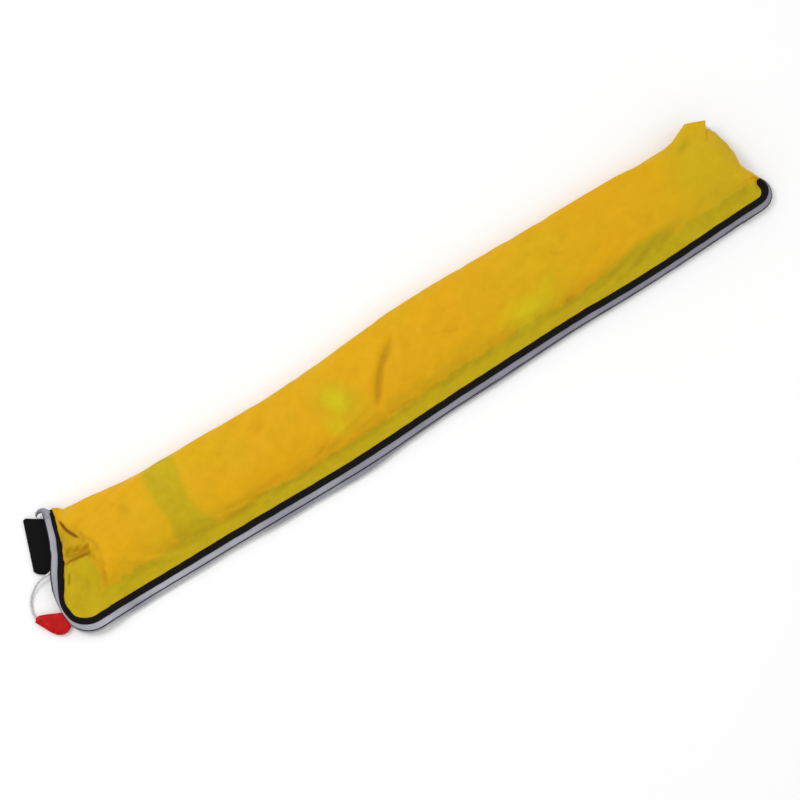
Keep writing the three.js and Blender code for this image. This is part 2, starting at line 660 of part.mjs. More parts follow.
/** The cord leaves the lip level, so that the whole pull runs through the same gap. */
function addPullCord() {
  const lever = THREE.MathUtils.degToRad(LEVER_REST_DEG);
  const pull = THREE.MathUtils.degToRad(LEVER_REST_DEG + 130);
  const eye = new THREE.Vector3(Math.cos(lever), Math.sin(lever), 0).multiplyScalar(LEVER_REACH).add(PIVOT);
  const start = eye.add(new THREE.Vector3(Math.cos(pull), Math.sin(pull), 0).multiplyScalar(6.6));
  start.z = CORD_START_Z;
  const route = new THREE.CatmullRomCurve3([
    start,
    new THREE.Vector3(-376, 29.75, 16.6),
    new THREE.Vector3(-380.5, 28.5, 13.6),
    new THREE.Vector3(-385, 27.3, 10.8),
    new THREE.Vector3(-389.5, 26.1, PARTING_Z),
    new THREE.Vector3(-399, 23.6, PARTING_Z),
    new THREE.Vector3(-410, 20.7, PARTING_Z),
    new THREE.Vector3(-424, 16.9, PARTING_Z),
    CORD_EXIT,
    new THREE.Vector3(-450, 9.4, 8.4),
    new THREE.Vector3(-461, 4.6, 5),
    new THREE.Vector3(-470, -2, 2.6),
    new THREE.Vector3(-475.4, -9.5, 2.4),
    new THREE.Vector3(-475.6, -14.4, 3.4),
    new THREE.Vector3(TOGGLE_TIP.x - 0.3, TOGGLE_TIP.y + 0.7, TOGGLE_TIP.z),
  ]);
  const section = circle(CORD_DIAMETER / 2, 8);
  const cord = new THREE.ExtrudeGeometry(section, { steps: 36, extrudePath: route, bevelEnabled: false });
  addPart('pull_cord', cord, LOOKS.cord);
}

function addToggle() {
  const shape = new THREE.Shape();
  shape.moveTo(0.4, -3.6);
  shape.lineTo(22, -11.6);
  shape.absarc(29, 0, 13.3, -2.05, 2.05);
  shape.lineTo(0.4, 3.6);
  shape.closePath();
  const toggle = new THREE.Group();
  toggle.position.set(TOGGLE_TIP.x, TOGGLE_TIP.y, 0);
  toggle.rotation.z = TOGGLE_DIRECTION;
  group.add(toggle);
  addPart('pull_toggle', slab(shape, 0.2, 7.6, 10), LOOKS.red, toggle);
}

addPouch();
addSlider();
addBladder();
addBelt();
addBuckle();
addInflatorBody();
addLever();
addFiringTrain();
addManifold();
addStatusClip();
addOralTube();
addPullCord();
addToggle();

export default group;
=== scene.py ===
import math

import bmesh
import bpy
import numpy as np
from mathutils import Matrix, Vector, noise
from mathutils.bvhtree import BVHTree


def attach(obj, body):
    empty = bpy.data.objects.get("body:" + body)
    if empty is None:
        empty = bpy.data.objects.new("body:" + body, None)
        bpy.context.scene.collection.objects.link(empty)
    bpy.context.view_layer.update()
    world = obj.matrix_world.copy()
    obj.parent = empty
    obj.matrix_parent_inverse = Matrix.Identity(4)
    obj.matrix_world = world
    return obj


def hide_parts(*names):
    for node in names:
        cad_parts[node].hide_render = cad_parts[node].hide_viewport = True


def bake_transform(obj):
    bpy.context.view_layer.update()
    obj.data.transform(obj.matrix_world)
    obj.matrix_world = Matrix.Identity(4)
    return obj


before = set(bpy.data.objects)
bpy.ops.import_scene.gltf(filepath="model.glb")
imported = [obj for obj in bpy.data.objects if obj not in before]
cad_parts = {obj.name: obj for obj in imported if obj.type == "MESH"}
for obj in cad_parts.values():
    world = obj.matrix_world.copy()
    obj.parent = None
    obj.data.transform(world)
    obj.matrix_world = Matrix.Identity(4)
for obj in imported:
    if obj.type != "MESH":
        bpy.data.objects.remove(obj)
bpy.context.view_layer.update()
MM = 0.001
rng = np.random.default_rng(7)

# ---------------------------------------------------------------- camera
CAMERA_AZIMUTH, CAMERA_ELEVATION = math.radians(-32.5), math.radians(79)
CAMERA_AIM = Vector((-0.0238, -0.0306, 0.0))
CAMERA_DISTANCE = 2.045


def place_camera():
    level = math.cos(CAMERA_ELEVATION)
    back = Vector(
        (math.sin(CAMERA_AZIMUTH) * level, -math.cos(CAMERA_AZIMUTH) * level, math.sin(CAMERA_ELEVATION))
    )
    data = bpy.data.cameras.new("camera")
    data.lens = 85
    data.sensor_width = 36
    camera = bpy.data.objects.new("camera", data)
    bpy.context.collection.objects.link(camera)
    camera.location = CAMERA_AIM + back * CAMERA_DISTANCE
    camera.rotation_mode = "QUATERNION"
    camera.rotation_quaternion = (-back).to_track_quat("-Z", "Y")
    bpy.context.scene.camera = camera


# ---------------------------------------------------------------- small helpers
def steps(pairs, x):
    """Straight lines through the (x, value) pairs, flat beyond both ends."""
    xs, ys = zip(*pairs)
    return np.interp(x, xs, ys)


def smooth(a, b, x):
    """0 at a and before it, 1 at b and after it, with soft ends; a may be the larger one."""
    t = np.clip((np.asarray(x, float) - a) / (b - a), 0, 1)
    return t * t * (3 - 2 * t)


def bump(x, centre, reach):
    return np.exp(-(((x - centre) / reach) ** 2))


def rounded(points, times):
    """Corner cutting, which turns a polyline into a smooth one with the same ends."""
    p = np.array(points, float)
    for _ in range(times):
        a, b = p[:-1], p[1:]
        cut = np.empty((2 * len(a), p.shape[1]))
        cut[0::2], cut[1::2] = 0.75 * a + 0.25 * b, 0.25 * a + 0.75 * b
        p = np.concatenate([p[:1], cut, p[-1:]])
    return p


def stretches(*parts):
    """Evenly spaced numbers over several (first, last, count) stretches."""
    return np.concatenate([np.linspace(*part) for part in parts])


def lengths(p):
    """How far along the polyline each point lies."""
    return np.concatenate([[0], np.cumsum(np.linalg.norm(np.diff(p, axis=0), axis=1))])


def even(points, count):
    """count points at even spacing along the polyline."""
    p = np.array(points, float)
    along = lengths(p)
    at = np.linspace(0, along[-1], count)
    return np.stack([np.interp(at, along, p[:, k]) for k in range(p.shape[1])], axis=1)


def catmull(points, per):
    """A smooth line through the points, with per points to each stretch."""
    p = [np.array(q, float) for q in points]
    p = [2 * p[0] - p[1]] + p + [2 * p[-1] - p[-2]]
    out = []
    for i in range(1, len(p) - 2):
        a, b, c, d = p[i - 1 : i + 3]
        for k in range(per):
            t = k / per
            square, cube = 2 * a - 5 * b + 4 * c - d, 3 * b - a - 3 * c + d
            out.append(0.5 * (2 * b + (c - a) * t + square * t**2 + cube * t**3))
    out.append(p[-2])
    return np.array(out)


def ripple(points, scale, seed, octaves):
    """Smooth noise from -1 to 1 at points in millimetres."""
    out = np.empty(len(points))
    for i, p in enumerate(points):
        out[i] = noise.fractal(Vector((p[0] / scale, p[1] / scale, seed)), 1.0, 2.0, octaves)
    return out


def new_mesh(name, verts_mm, faces, material=None):
    mesh = bpy.data.meshes.new(name)
    mesh.from_pydata([tuple(v) for v in np.asarray(verts_mm, float) * MM], [], [tuple(f) for f in faces])
    mesh.validate()
    mesh.polygons.foreach_set("use_smooth", [True] * len(mesh.polygons))
    mesh.update()
    obj = bpy.data.objects.new(name, mesh)
    bpy.context.collection.objects.link(obj)
    if material:
        mesh.materials.append(material)
    return obj


def grid_faces(nu, nv, loop=False):
    """Faces of a grid of nu rows of nv points; with loop, each row is a ring."""
    faces = []
    for i in range(nu - 1):
        for j in range(nv if loop else nv - 1):
            k = (j + 1) % nv
            faces.append((i * nv + j, (i + 1) * nv + j, (i + 1) * nv + k, i * nv + k))
    return faces


def grid_normals(p):
    """Unit normals of a grid of points (nu, nv, 3)."""
    du, dv = np.gradient(p, axis=0), np.gradient(p, axis=1)
    n = np.cross(du, dv)
    return n / np.maximum(np.linalg.norm(n, axis=2, keepdims=True), 1e-9)


def sheet_mesh(name, grid, thick, material):
    """A thin closed cloth either side of a grid of points."""
    nu, nv = grid.shape[:2]
    n = grid_normals(grid) * thick / 2
    top, low = (grid + n).reshape(-1, 3), (grid - n).reshape(-1, 3)
    faces = grid_faces(nu, nv)
    count = nu * nv
    under = [tuple(count + i for i in reversed(f)) for f in faces]
    rim = [i * nv for i in range(nu)] + [(nu - 1) * nv + j for j in range(1, nv)]
    rim += [i * nv + nv - 1 for i in range(nu - 2, -1, -1)] + [j for j in range(nv - 2, 0, -1)]
    sides = [(b, a, a + count, b + count) for a, b in zip(rim, rim[1:] + rim[:1])]
    return new_mesh(name, np.concatenate([top, low]), faces + under + sides, material)


def face_out(obj):
    bm = bmesh.new()
    bm.from_mesh(obj.data)
    bmesh.ops.recalc_face_normals(bm, faces=bm.faces)
    bm.to_mesh(obj.data)
    bm.free()


def tube_mesh(name, rings, material):
    """A closed skin through rings of points, with both ends capped."""
    rings = np.array(rings)
    nu, nv = rings.shape[:2]
    caps = [tuple(range(nv)), tuple((nu - 1) * nv + j for j in reversed(range(nv)))]
    obj = new_mesh(name, rings.reshape(-1, 3), grid_faces(nu, nv, loop=True) + caps, material)
    face_out(obj)
    return obj


def swept(name, centres, frames, sections, material):
    """Closed sections, lists of (aside, up), carried along centres; frames gives the (aside, up) axes."""
    rings = []
    for centre, (aside, up), section in zip(centres, frames, sections):
        rings.append([centre + a * aside + b * up for a, b in section])
    return tube_mesh(name, rings, material)


# ---------------------------------------------------------------- materials
def srgb(*rgb):
    """sRGB 0-255 to linear, with alpha 1."""
    linear = [((c / 255 + 0.055) / 1.055) ** 2.4 if c > 10 else c / 255 / 12.92 for c in rgb]
    return (*linear, 1.0)


class Look:
    """One Principled material and the nodes that feed it."""

    def __init__(self, name, colour, rough=0.5, metal=0.0):
        self.material = bpy.data.materials.new(name)
        self.material.use_nodes = True
        self.tree = self.material.node_tree
        self.shader = self.tree.nodes["Principled BSDF"]
        self.set("Base Color", colour)
        self.set("Roughness", rough)
        self.set("Metallic", metal)
        self.set("Specular IOR Level", 0.5 if metal or rough < 0.4 else 0.12)
        self.where = self.node("ShaderNodeTexCoord").outputs["Object"]
        self.height = None

    def node(self, kind, **settings):
        n = self.tree.nodes.new(kind)
        for key, value in settings.items():
            setattr(n, key, value)
        return n

    def put(self, socket, value):
        if isinstance(value, bpy.types.NodeSocket):
            self.tree.links.new(value, socket)
        else:
            socket.default_value = value

    def set(self, name, value):
        self.put(self.shader.inputs[name], value)

    def math(self, kind, a, b):
        n = self.node("ShaderNodeMath", operation=kind)
        self.put(n.inputs[0], a)
        self.put(n.inputs[1], b)
        return n.outputs[0]

    def mapped(self, location=(0, 0, 0), turn=0.0, scale=(1, 1, 1), kind="POINT"):
        n = self.node("ShaderNodeMapping", vector_type=kind)
        self.put(n.inputs["Vector"], self.where)
        n.inputs["Location"].default_value = location
        n.inputs["Rotation"].default_value = (0, 0, turn)
        n.inputs["Scale"].default_value = scale
        return n.outputs[0]

    def noise(self, scale, detail=2.0, rough=0.5, vector=None, distortion=0.0):
        n = self.node("ShaderNodeTexNoise")
        self.put(n.inputs["Vector"], vector or self.where)
        n.inputs["Scale"].default_value = scale
        n.inputs["Detail"].default_value = detail
        n.inputs["Roughness"].default_value = rough
        n.inputs["Distortion"].default_value = distortion
        return n.outputs[0]

    def wave(self, scale, direction):
        n = self.node("ShaderNodeTexWave", wave_type="BANDS", bands_direction=direction, wave_profile="SIN")
        self.put(n.inputs["Vector"], self.where)
        n.inputs["Scale"].default_value = scale
        return n.outputs["Fac"]

    def spread(self, value, low, high, to_low=0.0, to_high=1.0):
        """value from low to high becomes to_low to to_high, and stays there beyond."""
        n = self.node("ShaderNodeMapRange", clamp=True)
        keys = ("Value", "From Min", "From Max", "To Min", "To Max")
        for key, v in zip(keys, (value, low, high, to_low, to_high)):
            self.put(n.inputs[key], v)
        return n.outputs[0]

    def mix(self, factor, a, b):
        n = self.node("ShaderNodeMix", data_type="RGBA")
        self.put(n.inputs["Factor"], factor)
        self.put(n.inputs[6], a)
        self.put(n.inputs[7], b)
        return n.outputs[2]

    def tint(self, value, low, high, a, b, share=1.0):
        """Colour a where value is below low, and share of b over it where value is above high."""
        return self.mix(self.spread(value, low, high, 0.0, share), a, b)

    def raise_by(self, value, distance, strength=1.0):
        """Adds a bump layer; distance is in metres."""
        n = self.node("ShaderNodeBump")
        n.inputs["Strength"].default_value = strength
        n.inputs["Distance"].default_value = distance
        self.put(n.inputs["Height"], value)
        if self.height is not None:
            self.put(n.inputs["Normal"], self.height)
        self.height = n.outputs[0]
        self.set("Normal", self.height)

    def patch(self, x, y, rx, ry, turn, edge):
        """1 inside a soft oval of half widths rx, ry (mm) about (x, y), turned by degrees, 0 outside."""
        at = self.mapped((x * MM, y * MM, 0), math.radians(turn), (rx * MM, ry * MM, 1.0), "TEXTURE")
        g = self.node("ShaderNodeTexGradient", gradient_type="SPHERICAL")
        self.put(g.inputs["Vector"], at)
        return self.spread(g.outputs["Fac"], 0.0, edge)

    def patched(self, colour, patches):
        for x, y, rx, ry, turn, edge, shade, share in patches:
            mask = self.patch(x, y, rx, ry, turn, edge)
            colour = self.mix(self.math("MULTIPLY", mask, share), colour, shade)
        return colour


ORANGE = srgb(224, 166, 6)
GOLD = srgb(216, 170, 8)
GREEN = srgb(184, 162, 12)
LIME = srgb(206, 190, 16)


def nylon_look(name, patches=True):
    look = Look(name, ORANGE, 0.5)
    cloudy = look.noise(9.0, 3.0, 0.55)
    colour = look.tint(cloudy, 0.4, 0.68, ORANGE, GOLD)
    if patches:
        colour = look.patched(colour, NYLON_PATCHES)
        # the facing beside the zip, the band across and the pocket: painted by a mesh attribute
        green = look.node("ShaderNodeAttribute", attribute_name="unlined").outputs["Fac"]
        blotched = look.tint(look.noise(60.0, 3.0, 0.6), 0.35, 0.7, GREEN, srgb(196, 172, 10))
        colour = look.mix(green, colour, blotched)
        colour = look.patched(colour, LIME_PATCHES)
    fine = look.noise(55.0, 4.0, 0.6, distortion=0.6)
    colour = look.tint(fine, 0.3, 0.75, colour, srgb(168, 132, 4), 0.22)
    if patches:
        # painted light on the folds: 0.5 is level cloth; less is a hollow, painted darker as shade; more is a
        # crest, painted lighter as a highlight
        fold = look.node("ShaderNodeAttribute", attribute_name="fold").outputs["Fac"]
        # painted shade in the hollows
        colour = look.tint(fold, 0.48, 0.1, colour, srgb(108, 54, 0), 0.85)
        # painted highlight on the crests
        colour = look.tint(fold, 0.52, 0.9, colour, srgb(238, 186, 16), 0.3)
    look.set("Base Color", colour)
    look.set("Roughness", look.spread(fine, 0.2, 0.8, 0.42, 0.6))
    look.raise_by(look.noise(70.0, 3.0, 0.6, distortion=1.2), 0.0009, 0.55)
    weave = look.math("ADD", look.wave(900, "X"), look.wave(900, "Y"))
    look.raise_by(weave, 0.00008, 0.35)
    return look.material


# patches of another colour, three of them painted shade (marked below): centre x, y, half widths (mm), turn
# (degrees), softness, colour, share
NYLON_PATCHES = [
    (-82, -4, 28, 46, 28, 0.7, srgb(206, 172, 12), 0.95),
    (-404, 4, 24, 44, -8, 0.45, srgb(200, 158, 8), 0.8),
    # painted shade on the pocket's left part, a slope turned away from the light
    (-411, 28, 15, 20, 0, 0.5, srgb(190, 150, 4), 0.8),
    # painted shade on the right end's steep wall, which faces away from the key light
    (424, 8, 8, 34, -6, 0.35, srgb(188, 152, 10), 0.75),
    (396, 0, 62, 90, 0, 0.7, srgb(204, 172, 16), 0.95),
    (270, -44, 80, 17, 8, 0.4, GREEN, 0.9),
    # painted shadow beside the corner ear, along the groove below it
    (386, 36, 16, 6, 24, 0.8, srgb(168, 150, 18), 0.6),
]
LIME_PATCHES = [
    (-86, 0, 17, 22, 20, 0.8, srgb(208, 192, 14), 1.0),
    (-100, -24, 12, 22, 40, 0.9, LIME, 0.7),
    (145, -26, 44, 20, -2, 0.8, srgb(210, 190, 14), 0.9),
    (176, -14, 18, 10, 30, 0.9, LIME, 0.4),
]
BLADDER_PATCHES = [
    (-84, 0, 24, 60, 20, 0.25, srgb(206, 198, 60), 0.85),
    (150, -20, 42, 26, 20, 0.25, srgb(206, 198, 60), 0.85),
]
# single cloth at the left end, below the level fold
POCKET_GREEN = [
    (-460, -80), (-460, 7), (-424, 7), (-413, 6.4), (-404, 5.2),
    (-394, 3), (-391, -12), (-395, -26), (-402, -42), (-402, -80),
]
# the band of green lining that shows through right across the left part
CROSS_BAND = [
    (-301, 60), (-301, 44), (-304, 32), (-303, 4), (-302, -16), (-306, -36), (-309, -60),
    (-244, -60), (-254, -44), (-266, -29), (-272, -9), (-269, 17), (-264, 40), (-262, 60),
]


def binding_look():
    black = srgb(14, 12, 11)
    look = Look("black_binding", black, 0.85)
    grain = look.noise(900, 2.0)
    look.set("Base Color", look.tint(grain, 0.35, 0.75, black, srgb(23, 21, 20)))
    rib = look.math("ADD", look.wave(500, "X"), look.wave(500, "Y"))
    look.raise_by(rib, 0.0001, 0.6)
    return look.material


def silver_look():
    look = Look("reflective_tape", srgb(150, 150, 155), 0.45)
    cloudy = look.noise(14, 3.0, 0.6)
    base = look.tint(cloudy, 0.35, 0.7, srgb(138, 138, 147), srgb(178, 178, 186))
    beads = look.noise(2600, 1.0)
    split = look.node("ShaderNodeSeparateXYZ")
    look.put(split.inputs[0], look.where)
    # painted shade: darker towards the right, where the tape turns down away from the light
    base = look.tint(split.outputs[0], -0.30, 0.10, base, srgb(118, 116, 128), 0.8)
    look.set("Base Color", look.tint(beads, 0.3, 0.8, base, srgb(190, 190, 198), 0.25))
    look.set("Roughness", look.spread(beads, 0.3, 0.7, 0.36, 0.55))
    look.raise_by(beads, 0.00006, 0.4)
    return look.material


def webbing_look():
    look = Look("black_webbing", srgb(15, 15, 16), 0.9)
    rib = look.wave(130, "DIAGONAL")
    weave = look.noise(1500, 2.0)
    look.set("Base Color", look.tint(weave, 0.45, 0.8, srgb(8, 8, 9), srgb(28, 28, 30)))
    look.raise_by(rib, 0.0003, 0.5)
    look.raise_by(weave, 0.0002, 0.5)
    return look.material


def plastic(name, colour, rough, grain=0.00003, coat=0.0):
    look = Look(name, colour, rough)
    marks = look.noise(1800, 2.0)
    look.set("Roughness", look.spread(marks, 0.3, 0.7, rough * 0.9, min(1.0, rough * 1.15)))
    look.raise_by(marks, grain, 0.3)
    if coat:
        look.set("Coat Weight", coat)
        look.set("Coat Roughness", 0.12)
    return look.material


def metal(name, colour, rough):
    look = Look(name, colour, rough, 1.0)
    brushed = look.noise(900, 2.0, vector=look.mapped(scale=(0.05, 1, 1)))
    look.set("Roughness", look.spread(brushed, 0.3, 0.7, rough * 0.8, rough * 1.3))
    look.raise_by(brushed, 0.00002, 0.25)
    return look.material


def red_look():
    look = Look("red_plastic", srgb(190, 4, 6), 0.45)
    cloudy = look.noise(120, 2.0)
    look.set("Base Color", look.tint(cloudy, 0.35, 0.7, srgb(172, 6, 8), srgb(192, 12, 12)))
    look.set("Specular IOR Level", 0.1)
    look.set("Coat Weight", 0.04)
    look.set("Coat Roughness", 0.12)
    look.raise_by(look.noise(700, 2.0), 0.00005, 0.3)
    return look.material


def cord_look():
    look = Look("white_cord", srgb(196, 196, 194), 0.3)
    strands = look.noise(300, 2.0)
    look.set("Base Color", look.tint(strands, 0.3, 0.7, srgb(176, 176, 174), srgb(206, 206, 204)))
    look.raise_by(look.noise(1200, 2.0), 0.00004, 0.3)
    return look.material


def bladder_look():
    look = Look("orange_bladder", srgb(232, 150, 14), 0.42)
    cloudy = look.noise(22, 3.0)
    tinted = look.tint(cloudy, 0.35, 0.7, srgb(236, 152, 10), srgb(218, 140, 14))
    look.set("Base Color", look.patched(tinted, BLADDER_PATCHES))
    look.set("Coat Weight", 0.15)
    look.raise_by(look.noise(120, 3.0, distortion=1.0), 0.0006, 0.5)
    return look.material


NYLON = nylon_look("yellow_nylon")
NYLON_PLAIN = nylon_look("yellow_nylon_back", patches=False)
BINDING = binding_look()
SILVER = silver_look()
COIL = plastic("zip_coil", srgb(40, 40, 43), 0.5)
WEBBING = webbing_look()
BLACK = plastic("black_plastic", srgb(28, 28, 30), 0.45, 0.00006)
RUBBER = plastic("rubber", srgb(30, 30, 30), 0.75, 0.00006)
STEEL = metal("steel", (0.62, 0.63, 0.65, 1), 0.3)
RED = red_look()
GREEN_PLASTIC = plastic("green_plastic", srgb(30, 150, 60), 0.35, coat=0.3)
CORD = cord_look()
THREAD = plastic("yellow_thread", srgb(206, 188, 52), 0.6)
BLADDER = bladder_look()

# ---------------------------------------------------------------- pouch outline, in millimetres
LEFT, RIGHT = -432.0, 431.0


def corner_rise(d, radius):
    """How far the edge rises at a distance d from an end whose corner is rounded."""
    d = np.clip(d, 0, radius)
    return radius - np.sqrt(radius**2 - (radius - d) ** 2)


def lower_edge(x):
    x = np.asarray(x, float)
    wave = -4 * bump(x, -105, 110) + 3.5 * bump(x, 431, 120) + 1.5 * bump(x, 180, 60)
    wave = wave + 1.6 * bump(x, -400, 70) - 1.5 * bump(x, 300, 110)
    return -57.5 + wave + corner_rise(x - LEFT, 13) + corner_rise(RIGHT - x, 7)


def fold_edge(x):
    x = np.asarray(x, float)
    return 50 + 9 * bump(x, -415, 70) - 3 * bump(x, -150, 80) + 4 * bump(x, 60, 110)


# the left end's own waves, by height y across the pouch
LEFT_SHIFT = [
    (-57, 0), (-50, -4), (-43, -7), (-36, -8.5), (-28, -9.2), (-21, -7.6), (-14, -5),
    (-3, -0.8), (10, 3.8), (18, 6.2), (34, 5.8), (47, 3.2), (58, 0), (67, -4.5),
]


def lean(x, y):
    """x moved by the slant of the ends, and by the left end's waves, at the height y."""
    left = np.clip(1 - (x - LEFT) / 180, 0, 1)
    right = np.clip(1 - (RIGHT - x) / 180, 0, 1)
    plain = x + left * 0.0031 * np.maximum(0, y + 42) ** 2 - right * 0.25 * np.maximum(0, y + 45)
    return plain + steps(LEFT_SHIFT, y) * smooth(-385, LEFT, x)


# how far the cover's bulge at the fold stands out from, or falls short of, the plain fold line
FOLD_SHIFT = [
    (-432, 8.5), (-425, 5), (-418, 0), (-400, -1), (-380, -0.5), (-314, -1.2), (-206, -1), (-162, -1.6),
    (-119, -1.5), (-76, -1.2), (-32, 0), (11, 1.7), (97, 1.5), (184, 1), (271, 1.2), (314, 0), (352, -2),
    (390, -3),
]
# the same at the right end, by true x: a sharp fold of spare cloth stands up at the corner
PEAK = [(368, -2.5), (380, -1), (403, 0.5), (409, 0.5), (422, -3.5), (430, -7)]
# right end, by y across the pouch: the zip line's own shift, the top's rim and the bulge past the zip
ZIP_SHIFT = [(-58, 5), (-50, 7), (-42, 8), (-36, 7), (-30, 4.5), (-22, -0.5), (-12, -2), (0, -1), (10, 0)]
TOP_RIM = [(-50, -16), (-40, -13), (-28, -12), (-11, -10), (26, -3), (49, 2)]
OVERHANG = [
    (-57, 0), (-42, 1.5), (-36, 5), (-30, 9), (-22, 8.5), (-12, 9.5), (-2, 12),
    (15, 16), (30, 18.5), (40, 20), (46, 19.5),
]


# the pull cord comes out over the left end: a point of its line, and that line's slant
CORD_X, CORD_Y, CORD_SLANT = -438.6, 13, math.radians(15)


def cord_lift(x, y):
    """How far the two layers part at the left end, to let the cord out between them."""
    away = np.abs((x - CORD_X) * math.sin(CORD_SLANT) - (y - CORD_Y) * math.cos(CORD_SLANT))
    return np.where(x < -395, 3.0 * np.clip((24 - away) / 14, 0, 1), 0.0)


# ---------------------------------------------------------------- front cover
ZIP_HEIGHT = 10
COVER_FOOT, COVER_HEIGHT, COVER_WIDTH = 11, 26, 107
ROWS, WALL_COLUMNS, WALL_START = 46, 26, 371.0
# across the pouch, from the zip (0) to the fold (1), and the share of the height
SECTION = rounded(
    [
        (0, 0), (0.03, 0.02), (0.08, 0.05), (0.125, 0.1), (0.165, 0.2), (0.205, 0.42), (0.26, 0.68),
        (0.35, 0.88), (0.47, 0.98), (0.6, 1.0), (0.73, 0.965), (0.85, 0.86), (0.93, 0.7), (0.975, 0.47),
        (0.992, 0.3), (0.995, 0.17),
    ],
    3,
)


def section_rows():
    scale = np.array([COVER_WIDTH, COVER_HEIGHT])
    return even(SECTION * scale, ROWS) / scale


def end_profile(o, rim):
    """Right end, seen along Y: (outwards from the zip line, share of the height)."""
    return rounded(
        [
            (-60, 1), (-44, 1), (-30, 1), (rim - 5, 0.985), (rim, 0.95), (rim + (o - rim) * 0.45, 0.76),
            (o - 0.8, 0.52), (o, 0.4), (o - 1, 0.26), (o * 0.5, 0.1), (0, 0),
        ],
        2,
    )


def left_rise(along, y):
    """Share of the height at a distance along from the left end."""
    plain = np.sin(np.pi / 2 * np.clip(along / 38, 0, 1)) ** 0.8
    pocket = 0.36 * np.sin(np.pi / 2 * np.clip(along / 16, 0, 1)) + 0.64 * smooth(26, 50, along)
    share = smooth(40, 24, y)
    return plain * (1 - share) + pocket * share


def along_line(x, y, points):
    """Distance to a polyline, side (+ on its left) and share of its length, for arrays x, y."""
    p = rounded(points, 2)
    marks = lengths(p)
    best = np.full(np.shape(x), 1e9)
    side, share = np.zeros(np.shape(x)), np.zeros(np.shape(x))
    for i in range(len(p) - 1):
        a, d = p[i], p[i + 1] - p[i]
        t = np.clip(((x - a[0]) * d[0] + (y - a[1]) * d[1]) / (d @ d), 0, 1)
        ex, ey = x - a[0] - t * d[0], y - a[1] - t * d[1]
        far = np.hypot(ex, ey)
        near = far < best
        best = np.where(near, far, best)
        side = np.where(near, np.sign(d[0] * ey - d[1] * ex), side)
        share = np.where(near, (marks[i] + t * np.linalg.norm(d)) / marks[-1], share)
    return best, side, share


def crease(x, y, points, width, depth, shift, ends):
    """A groove (depth > 0) or ridge (depth < 0); shift raises the left side and lowers the right."""
    d, side, share = along_line(x, y, points)
    fade = smooth(0, ends, share) * smooth(0, ends, 1 - share)
    groove = -depth * np.exp(-((d / width) ** 2))
    step = shift * np.tanh(side * d / width) * np.exp(-((d / (width * 4)) ** 2))
    return fade * (groove + step)


LEVEL_FOLD = [(-427, 8), (-415, 7.4), (-404, 6.2), (-393, 4), (-384, -0.6)]
SHORT_FOLD = [(-417.5, -1.5), (-421.5, -5.5), (-425, -10), (-429, -17)]
# where hardly any light reaches the bottom of a fold: points (mm), width, darkness
SHARP_FOLDS = [
    ([(-401, 53), (-400, 46), (-398.5, 36), (-395, 28), (-391, 22), (-389, 19)], 1.5, 0.75),
    (LEVEL_FOLD, 1.1, 0.3),
    (SHORT_FOLD, 1.1, 0.22),
    ([(-389, 29), (-381, 15), (-379, 4), (-380, -7), (-384, -19), (-391, -32), (-399, -43)], 3.5, 0.12),
    ([(-3, 25), (-15, 13), (-32, -2), (-44, -19), (-53, -37)], 6.0, 0.07),
]
